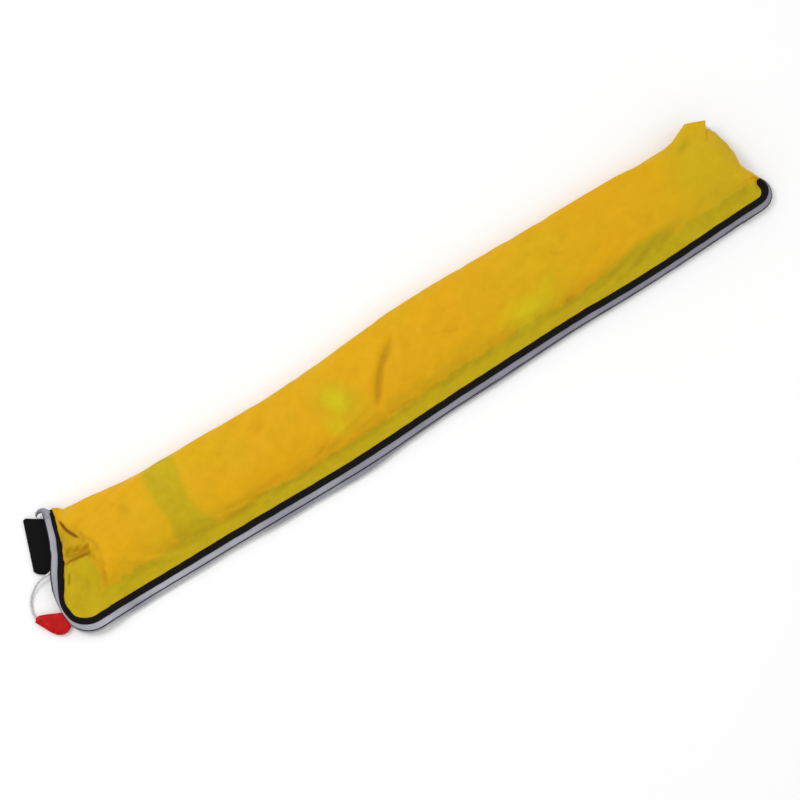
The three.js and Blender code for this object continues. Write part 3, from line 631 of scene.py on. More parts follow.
# points (mm), width, depth, shift, taper; first the deep folds round the left end's pocket
POCKET_FOLDS = [
    ([(-402, 53), (-400, 43), (-398.5, 35), (-395, 27), (-390, 21)], 3.4, 7.0, 3.0, 0.3),
    (
        [(-389, 33), (-384, 22), (-380, 13), (-379, 3), (-380, -8), (-384, -20), (-391, -33), (-400, -44)],
        5.5, 0.9, 3.0, 0.2,
    ),
    (LEVEL_FOLD, 2.6, 3.4, -1.2, 0.3),
    (SHORT_FOLD, 1.8, 2.6, 0.0, 0.3),
    ([(-405, -16), (-408, -26), (-407, -38)], 3.2, 1.2, 1.0, 0.4),
    ([(-391, 4), (-393, -8), (-399, -20)], 3.0, -1.4, 0.0, 0.4),
    ([(-417, -14), (-419, -26), (-416, -38)], 3.0, -1.2, 0.0, 0.4),
]
CREASES = [
    ([(-381, 44), (-376, 34), (-366, 26)], 3.5, 1.8, 0.8, 0.35),
    ([(-258, 46), (-250, 26), (-238, 4)], 2.4, 3.0, 1.0, 0.3),
    ([(-268, 34), (-262, 12), (-262, -12)], 2.4, 2.2, -0.8, 0.35),
    ([(-244, 40), (-226, 22), (-203, 8)], 2.6, 2.6, 0.8, 0.3),
    ([(-232, 36), (-212, 27), (-190, 22)], 2.2, 2.0, 0.5, 0.3),
    ([(-276, 4), (-270, -14), (-262, -30)], 2.4, 2.4, 1.0, 0.3),
    ([(-306, -10), (-296, -26), (-290, -38)], 2.2, 2.0, -0.8, 0.3),
    ([(10, 42), (2, 27), (-15, 16), (-31, 1), (-44, -18), (-53, -34), (-50, -41)], 4.8, 8.5, -3.5, 0.25),
    ([(12, 30), (2, 8), (-12, -12), (-26, -32)], 4.0, -2.6, 0.0, 0.3),
    ([(8, 27), (14, 14), (12, 0)], 2.6, 3.0, 0.8, 0.35),
    ([(-36, -28), (-42, -40), (-38, -46)], 1.8, 2.4, 0.0, 0.3),
    ([(-46, -14), (-62, -21), (-79, -25.5), (-103, -31), (-128, -36)], 3.6, -3.2, 1.6, 0.25),
    ([(-66, 26), (-78, 6), (-92, -16)], 4.0, 2.2, 1.4, 0.35),
    ([(-106, -28), (-122, -35), (-140, -40)], 2.0, 2.8, 0.0, 0.3),
    ([(-120, 14), (-108, -6), (-110, -26)], 3.4, 2.0, -1.0, 0.35),
    ([(20, 12), (52, 2), (86, -12)], 3.6, 2.2, 1.0, 0.35),
    ([(40, 34), (62, 24), (92, 22)], 2.8, 1.8, 0.8, 0.35),
    ([(92, 30), (112, 16), (142, 8)], 3.4, 2.2, 0.8, 0.35),
    ([(118, -8), (134, -18), (142, -36)], 2.4, 2.2, 0.8, 0.35),
    ([(168, 32), (186, 16), (214, 10)], 3.0, 2.0, 0.8, 0.35),
    ([(196, 14), (222, -6), (232, -30)], 2.4, 2.6, 1.0, 0.3),
    ([(236, 6), (250, -12), (252, -36)], 2.4, 1.9, 0.7, 0.35),
    ([(262, 28), (288, 14), (300, -6)], 3.2, 2.0, 0.8, 0.35),
    ([(290, 34), (330, 29), (372, 32)], 5.0, 2.0, -1.0, 0.35),
    ([(352, 33), (376, 29), (402, 27), (411, 24)], 3.2, -3.4, 0.0, 0.25),
    ([(366, 44), (380, 37), (394, 33)], 3.6, 3.4, 0.0, 0.35),
    ([(417, -4), (415, -18), (411, -34)], 2.4, 3.6, 1.6, 0.25),
    ([(424, -16), (422, -28), (416, -36)], 2.4, -2.6, 0.0, 0.3),
    ([(330, 14), (352, 2), (372, -16)], 4.6, 1.8, 0.8, 0.4),
    ([(388, 10), (400, -6), (404, -24)], 4.0, 1.8, -0.8, 0.35),
    ([(-190, 18), (-160, 22), (-130, 16)], 4.0, 1.6, 0.6, 0.4),
    ([(-176, -2), (-160, -18), (-152, -36)], 2.8, 2.0, 0.8, 0.35),
    ([(-345, 36), (-325, 14), (-322, -10)], 4.4, 1.8, 1.2, 0.4),
    ([(-372, 6), (-350, -12), (-336, -32)], 3.6, 2.0, 1.0, 0.4),
]


def cover_stations():
    """Where each column leaves the zip; the last ones belong to the wall at the right end."""
    wall = WALL_START + (RIGHT - WALL_START) * np.linspace(0, 1, WALL_COLUMNS)
    return np.concatenate([stretches((LEFT, -378, 27), (-376, 369, 176)), wall])


def cover_grid():
    """The cover as designed: its points, how far across each lies (0 to 1) and its share of the height."""
    rows = section_rows()
    a, h = rows[:, 0][None, :], rows[:, 1][None, :]
    stations = cover_stations()
    station = stations[:, None] + 0 * a
    y = lower_edge(station) + (fold_edge(station) - lower_edge(station)) * a
    x = lean(station, y)
    share = np.ones_like(x)
    at_right = np.arange(len(stations)) >= len(stations) - WALL_COLUMNS
    for j in range(ROWS):
        yy = y[at_right, j]
        profile = even(end_profile(steps(OVERHANG, yy[-1]), steps(TOP_RIM, yy[-1])), WALL_COLUMNS)
        outwards, height = profile.T
        x[at_right, j] = lean(RIGHT + outwards, yy) + steps(ZIP_SHIFT, yy) * smooth(-60, 0, outwards)
        share[at_right, j] = np.maximum(height, 0.08 * smooth(0.1, 0.9, outwards))
    share *= left_rise(station - LEFT, y)
    upper = smooth(0.62, 0.95, a)
    peak = smooth(360, 372, x)
    y = y + (steps(FOLD_SHIFT, station) * (1 - peak) * upper) + steps(PEAK, x) * peak * smooth(0.8, 0.96, a)
    z = COVER_FOOT + COVER_HEIGHT * h * share + cord_lift(x, y) * np.clip(1 - (station - LEFT) / 12, 0, 1)
    return np.stack([x, y, z], axis=2), a + 0 * x, share


def add_wrinkles(grid, across, share):
    x, y = grid[:, :, 0], grid[:, :, 1]
    pocket, others = (sum(crease(x, y, *c) for c in table) for table in (POCKET_FOLDS, CREASES))
    lift = pocket + 0.34 * others
    flat = grid[:, :, :2].reshape(-1, 2)
    shape = x.shape
    # long soft swells over the folded bladder, and small crinkles along the seam and the fold
    swell = ripple(flat * np.array([0.55, 1.0]), 42, 3.1, 3).reshape(shape)
    turned_by = flat @ np.array([[0.85, -0.52], [0.52, 0.85]])
    drag = ripple(turned_by * np.array([0.35, 1.0]), 17, 8.4, 2).reshape(shape)
    pucker = ripple(flat * np.array([1.0, 0.6]), 7, 5.7, 2).reshape(shape)
    tight = ripple(flat * np.array([1.0, 0.5]), 15, 9.7, 2).reshape(shape)
    inner = smooth(0.1, 0.3, across) * smooth(1.0, 0.9, across) * smooth(0.1, 0.6, share)
    seam = bump(across, 0.16, 0.055) + 0.5 * bump(across, 0.03, 0.03)
    lift = lift * smooth(0.0, 0.05, across) + inner * (2.2 * swell + 1.1 * drag)
    lift = lift + seam * (0.5 * pucker + 0.7 * tight) + 0.6 * bump(across, 0.95, 0.06) * tight
    lift = lift * smooth(0.0, 0.07, share)
    return clear_of_hard_parts(grid + grid_normals(grid) * lift[:, :, None])


# the inflator under the cover: the gas cylinder's axis, the lever's pivot on it and the manifold nut
AXIS_Y, AXIS_Z, PIVOT_X = 7, 21, -378
NUT_X, NUT_Y = -354, 23


def clear_of_hard_parts(grid):
    """The cloth rests on the inflator, the gas cylinder and the manifold nut under it."""
    x, y, z = grid[:, :, 0], grid[:, :, 1], grid[:, :, 2]
    tube = AXIS_Z + np.sqrt(np.maximum(0, 14.6**2 - (y - AXIS_Y) ** 2))
    tube = np.where(np.abs(y - AXIS_Y) < 13, tube, 0) * smooth(-392, -386, x) * smooth(-216, -222, x)
    nut = 35.6 * smooth(24, 11.0, np.hypot(x - NUT_X, y - NUT_Y))
    # room for the lever's swing, and for the cord that it lets out
    lever = 26.0 * smooth(44, 33.5, np.hypot(x - PIVOT_X, y - AXIS_Y))
    lever = lever * smooth(-8, 0, (y - AXIS_Y) + 0.45 * (x - PIVOT_X)) * smooth(46, 38, y)
    # the cord's line when it is pulled out, 15 degrees down to the left
    beside = np.abs((x + 407.3) * 0.2588 - (y - 21.4) * 0.9659)
    let_out = steps([(-426, 12.2), (-420, 14.4), (-415, 17.2), (-411, 20.2), (-407, 21)], x)
    let_out = np.where(x < -384, let_out * smooth(11, 3, beside), 0)
    for floor in (tube, nut, lever, let_out):
        z = np.maximum(z, floor) + 0.5 * np.exp(-np.abs(z - floor) / 0.7) * (floor > 22)
    return np.stack([x, y, z], axis=2)


CLOTH_FRAMES, CLOTH_REACH = 34, 4.0


def simulate(grid):
    """Cloth over the folded bladder: the sewn edges hold, the rest is a little too long and buckles."""
    nu, nv = grid.shape[:2]
    cloth = new_mesh("cover_cloth", grid.reshape(-1, 3), grid_faces(nu, nv))
    # how firmly each point keeps its place
    hold = np.zeros((nu, nv))
    hold[0, :] = hold[-1, :] = hold[:, 0] = hold[:, -1] = 1.0
    hold[:, 1] = hold[:, -2] = 0.7
    hold = np.maximum(hold, 0.10)
    group = cloth.vertex_groups.new(name="hold")
    for i, w in enumerate(hold.ravel()):
        group.add([i], float(w), "REPLACE")
    under = grid - grid_normals(grid) * 3.0
    under[:, :, 2] = np.minimum(under[:, :, 2], grid[:, :, 2] - 1.5)
    body = new_mesh("cover_support", under.reshape(-1, 3), grid_faces(nu, nv))
    body.modifiers.new("collide", "COLLISION")
    body.collision.thickness_outer = 0.0006
    body.collision.cloth_friction = 12
    modifier = cloth.modifiers.new("cloth", "CLOTH")
    settings = modifier.settings
    settings.quality = 6
    settings.mass = 0.12
    settings.tension_stiffness = settings.compression_stiffness = 12
    settings.shear_stiffness = 6
    settings.bending_stiffness = 6.0
    settings.air_damping = 2.0
    settings.vertex_group_mass = "hold"
    settings.pin_stiffness = 1.0
    settings.shrink_min = -0.006
    modifier.collision_settings.distance_min = 0.0008
    modifier.collision_settings.use_self_collision = False
    scene = bpy.context.scene
    modifier.point_cache.frame_start, modifier.point_cache.frame_end = 1, CLOTH_FRAMES
    scene.frame_start, scene.frame_end = 1, CLOTH_FRAMES
    for f in range(1, CLOTH_FRAMES + 1):
        scene.frame_set(f)
    seen = cloth.evaluated_get(bpy.context.evaluated_depsgraph_get())
    out = np.array([v.co for v in seen.data.vertices]) / MM
    for o in (cloth, body):
        bpy.data.objects.remove(o, do_unlink=True)
    scene.frame_set(1)
    moved = out.reshape(nu, nv, 3) - grid
    for _ in range(2):
        wide = np.pad(moved, ((1, 1), (1, 1), (0, 0)), mode="edge")
        moved = (2 * moved + wide[2:, 1:-1] + wide[:-2, 1:-1] + wide[1:-1, 2:] + wide[1:-1, :-2]) / 6
    far = np.linalg.norm(moved, axis=2, keepdims=True)
    return grid + moved * np.minimum(1, CLOTH_REACH / np.maximum(far, 1e-6))


def refine(grid):
    """Twice as many rows and columns, on a smooth surface through the old points."""
    for axis in (0, 1):
        g = np.moveaxis(grid, axis, 0)
        out = np.empty((2 * len(g) - 1,) + g.shape[1:])
        out[0::2] = g
        padded = np.concatenate([2 * g[:1] - g[1:2], g, 2 * g[-1:] - g[-2:-1]])
        out[1::2] = (9 * (g[:-1] + g[1:]) - padded[:-3] - padded[3:]) / 16
        grid = np.moveaxis(out, 0, axis)
    return grid


def cloth_piece(obj, body, node):
    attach(obj, body)
    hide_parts(node)
    return obj


def facing_share(fine, across):
    """1 over the single layer beside the zip, whose edge wanders."""
    flat = fine[:, :, :2].reshape(-1, 2)
    wander = ripple(flat * np.array([1.0, 0.2]), 55, 2.2, 1).reshape(across.shape) * 0.035
    ragged = ripple(flat, 7, 2.9, 3).reshape(across.shape) * 0.022
    return 0.92 * smooth(0.180, 0.163, across + wander + ragged)


def inside(fine, outline, soft):
    """1 inside a closed outline (mm), fading over soft either side of it."""
    x, y = fine[:, :, 0], fine[:, :, 1]
    far, _, _ = along_line(x, y, outline + outline[:1])
    crossings = np.zeros(x.shape, int)
    for (ax, ay), (bx, by) in zip(outline, outline[1:] + outline[:1]):
        spans = (ay > y) != (by > y)
        height = by - ay if by != ay else 1e-9
        crossings += spans & (x < ax + (y - ay) * (bx - ax) / height)
    signed = np.where(crossings % 2 == 1, far, -far)
    return smooth(-soft, soft, signed)


def painted_fold_shade(fine):
    """Painted shade and highlight: 0.5 on level cloth, towards 0 (painted shade) in a hollow and towards 1
    (painted highlight) on a crest.
    """
    up = grid_normals(fine)
    depth = np.zeros(fine.shape[:2])
    for reach, share in ((5, 0.55), (9, 0.35)):
        wide = np.pad(fine, ((reach, reach), (reach, reach), (0, 0)), mode="edge")
        around = (
            wide[2 * reach :, reach:-reach] + wide[: -2 * reach, reach:-reach]
            + wide[reach:-reach, 2 * reach :] + wide[reach:-reach, : -2 * reach]
        ) / 4
        depth += share * np.einsum("ijk,ijk->ij", fine - around, up)
    for edge in (depth[:9], depth[-9:], depth[:, :9].T, depth[:, -9:].T):
        edge *= 0.2
    level = 0.5 + 0.11 * np.tanh(depth / 1.6)
    x, y = fine[:, :, 0], fine[:, :, 1]
    # painted shade along the sharp folds, darkest at their bottoms
    for points, width, strength in SHARP_FOLDS:
        far, _, share = along_line(x, y, points)
        level -= strength * np.exp(-((far / width) ** 2)) * smooth(0, 0.25, share) * smooth(1, 0.7, share)
    return np.clip(level, 0, 1)


def paint(obj, name, values):
    """Stores one value per point of a two-sided sheet."""
    mark = obj.data.attributes.new(name, "FLOAT", "POINT")
    mark.data.foreach_set("value", np.tile(values.ravel(), 2).astype(np.float32))


def tree_of(fine):
    return BVHTree.FromPolygons([tuple(v) for v in fine.reshape(-1, 3)], grid_faces(*fine.shape[:2]))


# the ear's corners: where it leaves the cover, and its free edge
EAR_FOOT, EAR_TOP = np.array([[368.0, 42.5], [410.5, 26.0]]), np.array([[403.0, 57.6], [424.4, 48.6]])
EAR_HEIGHT = 30.5


def build_corner_ear(fine):
    """The spare cloth at the right end of the fold, pressed flat into an ear."""
    tree = tree_of(fine)
    (low_left, low_right), (high_left, high_right) = EAR_FOOT, EAR_TOP
    grid = np.empty((41, 33, 3))
    for i, u in enumerate(np.linspace(0, 1, grid.shape[0])):
        low, high = (1 - u) * low_left + u * low_right, (1 - u) * high_left + u * high_right
        for j, v in enumerate(np.linspace(0, 1, grid.shape[1])):
            x, y = (1 - v) * low + v * high
            hit = tree.ray_cast(Vector((x, y, 80)), Vector((0, 0, -1)))[0]
            under = hit.z if hit else 0.0
            rise = float(min(smooth(0, 0.3, v), smooth(0, 0.06, u)))
            uneven = 0.5 * noise.noise(Vector((x / 9, y / 9, 4.0)))
            plane = EAR_HEIGHT - 2.5 * v - 3 * float(smooth(0.25, 0, u)) + uneven
            z = max(under - 0.35 + 1.2 * rise, plane if v > 0.1 else 0)
            grid[i, j] = (x, y, z)
    for _ in range(3):
        grid[1:-1, 1:-1, 2] = (
            grid[:-2, 1:-1, 2] + grid[2:, 1:-1, 2] + grid[1:-1, :-2, 2] + grid[1:-1, 2:, 2]
        ) / 4
    ear = sheet_mesh("cover_corner_ear", grid, 0.7, NYLON)
    paint(ear, "unlined", np.zeros(grid.shape[:2]))
    paint(ear, "fold", np.full(grid.shape[:2], 0.5))
    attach(ear, "cover_lid")
    return ear


def build_front_cover():
    designed, across, share = cover_grid()
    wrinkled = add_wrinkles(designed, across, share)
    settled = clear_of_hard_parts(simulate(wrinkled))
    fine = refine(settled)
    cover = sheet_mesh("cover_front_cloth", fine, 0.4, NYLON)
    share_across = refine(across[:, :, None])[:, :, 0]
    green = np.maximum(facing_share(fine, share_across), 0.85 * inside(fine, CROSS_BAND, 4))
    paint(cover, "unlined", np.maximum(green, 0.85 * inside(fine, POCKET_GREEN, 3)))
    # painted shade in the cover's hollows and painted highlight on its crests, stored per point
    paint(cover, "fold", painted_fold_shade(fine))
    cloth_piece(cover, "cover_lid", "cover_front")
    return cover, fine, share_across


# ---------------------------------------------------------------- fold strip and back cover
def fold_strip(front):
    """Carries the cloth round the fold, from the front cover's last row to the back cover's."""
    edge, before = front[::2, -1, :], front[::2, -3, :]
    columns = []
    for station, e, b in zip(cover_stations(), edge, before):
        down = e - b
        down /= max(np.linalg.norm(down), 1e-6)
        foot = np.array(tray_point(station, 0.97))
        bulge = 0.5 + 0.5 * noise.noise(Vector((e[0] / 16, 2.0, 0)))
        middle = np.array([0.6 * e[0] + 0.4 * foot[0], e[1] + 0.3 + bulge, (e[2] + foot[2]) / 2])
        line = rounded([e, e + down * 2, middle, foot + [0, 1.6, 0.8], foot], 3)
        columns.append(even(line, 13))
    strip = sheet_mesh("fold_strip", np.array(columns), 0.4, NYLON_PLAIN)
    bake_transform(strip)
    return strip


def recess(x):
    """Height of the back cover's floor, raised over the belt's buckle."""
    return 5.6 + 8 * steps([(20, 0), (55, 1), (215, 1), (245, 0)], x)


def tray_point(x, across):
    """A point of the back cover: 0 across is the zip's edge, 1 the fold."""
    y = lower_edge(x) + (fold_edge(x) - lower_edge(x)) * across
    y = y + steps(FOLD_SHIFT, x) * smooth(0.62, 0.95, across)
    belted = recess(x) if x < 281 else 0.6
    rim = belted if x < -160 else 0.6
    section = [
        (0, 9), (0.035, 4.6), (0.075, 0.6), (0.12, 0.6), (0.165, belted), (0.88, belted), (0.915, rim),
        (0.955, rim), (0.97, max(3.6, rim)),
    ]
    z = float(steps(section, across))
    ramp = float(np.clip(min(x - LEFT, RIGHT - x) / 15, 0, 1))
    px = lean(x, y) + steps(ZIP_SHIFT, y) * smooth(40, 0, RIGHT - x)
    drop = cord_lift(lean(x, y), y) * float(np.clip(1 - (x - LEFT) / 12, 0, 1))
    return (float(px), float(y), 9 + (z - 9) * ramp - float(drop))


def build_back_cover():
    xs = stretches((LEFT, -412, 9), (-408, 410, 180), (413, RIGHT, 10))
    rows = stretches((0, 0.2, 16), (0.24, 0.86, 14), (0.88, 0.97, 10))
    grid = np.array([[tray_point(x, a) for a in rows] for x in xs])
    flat = grid[:, :, :2].reshape(-1, 2)
    ruffle = ripple(flat * np.array([1.0, 0.5]), 22, 4.4, 3).reshape(grid.shape[:2])
    middle = smooth(0, 0.05, rows)[None, :] * smooth(0.97, 0.9, rows)[None, :]
    middle = middle * smooth(-432, -415, grid[:, :, 0]) * smooth(431, 415, grid[:, :, 0])
    grid[:, :, 2] += np.where(grid[:, :, 2] > 2.0, 0.5 * ruffle * middle, 0.25 * np.abs(ruffle) * middle)
    cover = sheet_mesh("cover_back_cloth", grid, 0.5, NYLON_PLAIN)
    cloth_piece(cover, "pack", "cover_back")
    return cover


# ---------------------------------------------------------------- zip lip
BINDING_WIDTH = 6.0
# how far the lip is turned down at the right end, and squeezed in at the left one, by height y
TURNED_DOWN = [(-57, 0.12), (-50, 0.3), (-42, 0.45), (-34, 0.7), (-20, 0.78), (0, 0.6), (36, 0.5)]
SQUEEZED = [
    (-56, 0), (-48, 0.35), (-40, 0.75), (-28, 0.8), (-21, 0.55), (-14, 0.25), (-3, 0.05), (10, 0),
]


def lip_line(top_left, top_right):
    """Evenly spaced points of the nylon's edge, outward directions, and how flat the lip lies (1 is flat)."""
    left_y = np.linspace(top_left, lower_edge(LEFT), 40)
    left = [(float(lean(LEFT, y)), float(y)) for y in left_y[:-1]]
    xs = stretches((LEFT, -404, 24), (-400, 412, 330), (415, RIGHT, 14))
    base = [(float(lean(x, lower_edge(x))), float(lower_edge(x))) for x in xs]
    right_y = np.linspace(lower_edge(RIGHT), top_right, 40)[1:]
    right = [(float(lean(RIGHT, y)), float(y)) for y in right_y]
    p = even(np.array(left + base + right), 520)
    near = smooth(40, 0, RIGHT - p[:, 0]) * (p[:, 0] > 300)
    p[:, 0] += near * steps(ZIP_SHIFT, p[:, 1])
    for _ in range(3):
        p[1:-1] = 0.25 * p[:-2] + 0.5 * p[1:-1] + 0.25 * p[2:]
    along = np.gradient(p, axis=0)
    along /= np.linalg.norm(along, axis=1, keepdims=True)
    out = np.stack([along[:, 1], -along[:, 0]], axis=1)
    right_end = (p[:, 0] > 400) * 1.0
    turned_down = steps(TURNED_DOWN, p[:, 1])
    sway = np.array([noise.noise(Vector((x / 70, 1.5, 0))) for x in p[:, 0]])
    slack = 0.12 + 0.1 * sway + 0.2 * smooth(0, 300, p[:, 0])
    slack = slack * smooth(-425, -385, p[:, 0]) * (1 - right_end)
    squeezed = steps(SQUEEZED, p[:, 1])
    slack = slack + squeezed * smooth(-405, -425, p[:, 0])
    tuck = 1 - np.maximum(right_end * turned_down, slack)
    return p, out, tuck


def body_of(side):
    """The front layer (side 1) moves with the lid, the back one (side -1) stays."""
    return "cover_lid" if side > 0 else "pack"


def slump(c, x):
    """How much the lip sinks for each millimetre past the binding; c is 1 where it lies flat."""
    return math.sqrt(max(0.0, 1 - c * c)) * (0.75 if x > -400 else 0.12)


def lip_piece(node, line, section, side, material, slot, wavy, seed):
    """section(i) lists (offset outwards, height from the zip line) round the ribbon."""
    p, out, tuck = line
    marks = lengths(p)
    rings = []
    for i, c in enumerate(tuck):
        drop = slump(c, p[i, 0])
        lift = float(cord_lift(p[i, 0] + out[i, 0] * 8, p[i, 1] + out[i, 1] * 8))
        sway = noise.noise(Vector((marks[i] / 17, seed, 0))) * wavy
        ring = []
        for o, h in section(i):
            past = max(0.0, o - BINDING_WIDTH)
            oo = min(o, BINDING_WIDTH) + past * c + sway
            x, y = p[i, 0] + out[i, 0] * oo, p[i, 1] + out[i, 1] * oo
            ring.append((x, y, ZIP_HEIGHT + side * (h + lift) - past * drop + 0.4 * sway * (side > 0)))
        rings.append(ring)
    cloth_piece(tube_mesh(node + "_cloth", rings, material), body_of(side), node)


def band(o0, o1, h0, h1, crown, parts=5):
    """A ribbon's section, from o0 to o1 outwards and h0 to h1 high, its top bulged by crown."""
    shares = [k / parts for k in range(parts + 1)]
    top = [(o0 + (o1 - o0) * t, h1 + crown * math.sin(math.pi * t)) for t in shares]
    return top + [(o1 + 0.12, (h0 + h1) / 2), (o1, h0), (o0, h0), (o0 - 0.12, (h0 + h1) / 2)]


def second_tape(x):
    """How far the back tape shows past the front one, along the long edge."""
    left = 4.6 * bump(x, -112, 55) + 3.0 * bump(x, -200, 40) + 3.2 * bump(x, -350, 75)
    return 0.7 + left + 0.8 * bump(x, 60, 120)


def build_lip():
    front = lip_line(58.5, 30.0)
    back = lip_line(67.0, 30.0)

    def binding(i):
        ragged = noise.noise(Vector((i * 0.27, 7.7, 0))) + 0.5 * noise.noise(Vector((i * 0.9, 3.3, 0)))
        x, y = front[0][i, :2]
        narrow = float(smooth(-400, -420, x) * bump(y, -26, 20))
        wide = float(smooth(395, 410, x) * smooth(-54, -42, y))
        inner = -1.1 + (0.8 if x < -395 else 0.2) * ragged + 1.2 * narrow
        return band(inner, 6.1 - 0.8 * narrow + 4.5 * wide, 0.35, 1.75, 0.45)

    def front_tape(i):
        return band(5.4, 13.0, 0.3, 0.75, 0.1)

    def back_tape(i):
        x, y = back[0][i]
        extra = float(second_tape(x)) * float(smooth(-36, -52, y)) * float(smooth(420, 380, x))
        return band(5.4, 14.0 + extra, 0.5, 0.95, -0.1)

    for piece in (
        ("binding_front", front, binding, 1, BINDING, "black_binding", 0.5, 1.0),
        ("binding_back", back, binding, -1, BINDING, "black_binding", 0.4, 2.0),
        ("zip_tape_front", front, front_tape, 1, SILVER, "reflective_tape", 0.5, 3.0),
        ("zip_tape_back", back, back_tape, -1, SILVER, "reflective_tape", 0.5, 4.0),
    ):
        lip_piece(*piece)
    coil_teeth("zip_coil_front", front, 1)
    coil_teeth("zip_coil_back", back, -1)


def coil_teeth(node, line, side):
    """The nylon coil, as a cord whose turns stand out every 1.5 mm."""
    p, out, tuck = line
    marks = lengths(p)
    at = np.arange(0, marks[-1], 0.5)
    rings = []
    for k, s in enumerate(at):
        x, y = np.interp(s, marks, p[:, 0]), np.interp(s, marks, p[:, 1])
        ox, oy = np.interp(s, marks, out[:, 0]), np.interp(s, marks, out[:, 1])
        c = np.interp(s, marks, tuck)
        drop = slump(c, x)
        lift = float(cord_lift(x + ox * 13, y + oy * 13))
        r = (0.42, 0.62, 0.62)[k % 3]
        ring = []
        for j in range(7):
            a = 2 * math.pi * j / 7
            o, h = 13.5 + r * math.cos(a), 0.72 + r * math.sin(a)
            past = o - BINDING_WIDTH
            oo = BINDING_WIDTH + past * c
            ring.append((x + ox * oo, y + oy * oo, ZIP_HEIGHT + side * (h + lift) - past * drop))
        rings.append(ring)
    cloth_piece(tube_mesh(node + "_teeth", rings, COIL), body_of(side), node)


def build_tape_tail():
    """The back tape's end at the left, which curls round behind the webbing."""
    curl = [
        (-408.4, 61.5, 9.2), (-407.6, 66.5, 9.3), (-409.9, 70.6, 9.2), (-414.0, 72.4, 8.8),
        (-418.0, 71.4, 8.2), (-419.8, 68.4, 7.6), (-418.3, 65.8, 7.0),
    ]
    route = catmull(curl, 8)
    along = np.gradient(route, axis=0)
    along /= np.linalg.norm(along, axis=1, keepdims=True)
    frames = []
    for i, d in enumerate(along):
        up = np.array([0.25, 0.1, 1.0])
        aside = np.cross(d, up)
        aside /= np.linalg.norm(aside)
        up = np.cross(aside, d)
        roll = math.radians(np.interp(i / (len(along) - 1), [0, 0.3, 0.6, 1], [0, 40, 72, 80]))
        c, s = math.cos(roll), math.sin(roll)
        frames.append((aside * c + up * s, up * c - aside * s))
    flat = [(-3.0, -0.25), (3.0, -0.25), (3.2, 0), (3.0, 0.25), (-3.0, 0.25), (-3.2, 0)]
    tail = swept("zip_tape_tail", route, frames, [flat] * len(route), SILVER)
    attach(tail, "pack")
    return tail


# ---------------------------------------------------------------- stitching
def build_stitches(fine, across):
    """Yellow thread along the facing's inner edge, on the finished cloth."""
    normals = grid_normals(fine)
    row = np.argmin(np.abs(across[0] - 0.162))
    line, up = fine[:, row, :], normals[:, row, :]
    marks = lengths(line)
    verts, faces = [], []
    for s in np.arange(14, marks[-1] - 34, 3.2):
        jitter = rng.uniform(-0.25, 0.25)
        a, b = s, s + 1.7
        ends = []
        for t in (a, (a + b) / 2, b):
            p = np.array([np.interp(t, marks, line[:, k]) for k in range(3)])
            n = np.array([np.interp(t, marks, up[:, k]) for k in range(3)])
            ends.append((p + np.array([0, jitter, 0]), n / np.linalg.norm(n)))
        direction = ends[2][0] - ends[0][0]
        direction /= np.linalg.norm(direction)
        start = len(verts)
        for k, (p, n) in enumerate(ends):
            aside = np.cross(direction, n)
            r = 0.24 if k == 1 else 0.16
            lift = 0.3 if k == 1 else 0.1
            for j in range(6):
                ang = 2 * math.pi * j / 6
                verts.append(p + n * (lift + r * math.sin(ang)) + aside * r * math.cos(ang))
        for k in range(2):
            for j in range(6):
                q = start + k * 6
                faces.append((q + j, q + (j + 1) % 6, q + 6 + (j + 1) % 6, q + 6 + j))
        faces += [tuple(start + j for j in reversed(range(6))), tuple(start + 12 + j for j in range(6))]
    stitches = new_mesh("seam_stitches", verts, faces, THREAD)
    face_out(stitches)
    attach(stitches, "cover_lid")
    return stitches


# ---------------------------------------------------------------- belt, keepers and buckle
BELT_WIDTH, BELT_THICK = 61.5, 1.5
# the belt runs straight from the right as far as this x, then bends over the rest of its run
BELT_BEND, BELT_RUN, BELT_TURN = -114, 324, math.radians(18.1)
# heights of its two layers, and the radius of the fold from one to the other
BELT_LOW, BELT_HIGH, BELT_FOLD = 0.75, 3.45, 1.35


def belt_centre(x):
    reach = np.maximum(0, BELT_BEND - np.asarray(x, float)) / BELT_RUN
    return -1 + 45.2 * reach**5


def belt_path():
    """(x, z): out to the left end, folded back above itself, up over the buckle and folded under."""
    def fold(x, side):
        r = BELT_FOLD
        turn = np.linspace(0, math.pi, 9)
        return [(x + side * r * math.sin(a), BELT_LOW + r * (1 - math.cos(a))) for a in turn]

    near_end = [-434, -436.5, -438.5, -440, -441]
    lower = [(x, BELT_LOW) for x in list(np.arange(75, -432, -6)) + near_end]
    upper = [(x, BELT_HIGH) for x in near_end[::-1] + list(np.arange(-430, 22, 6))]
    hump = [
        (28, BELT_HIGH), (34, 5.2), (46, 9.2), (55, 11.1), (64, 11.45), (140, 11.45), (206, 11.45),
        (216, 11.1), (226, 8.4), (234, 5.2), (240, BELT_HIGH),
    ]
    back = [(x, BELT_LOW) for x in np.arange(256, 137, -6)]
    return lower + fold(-441.4, -1) + upper + hump + fold(262, 1)[::-1] + back


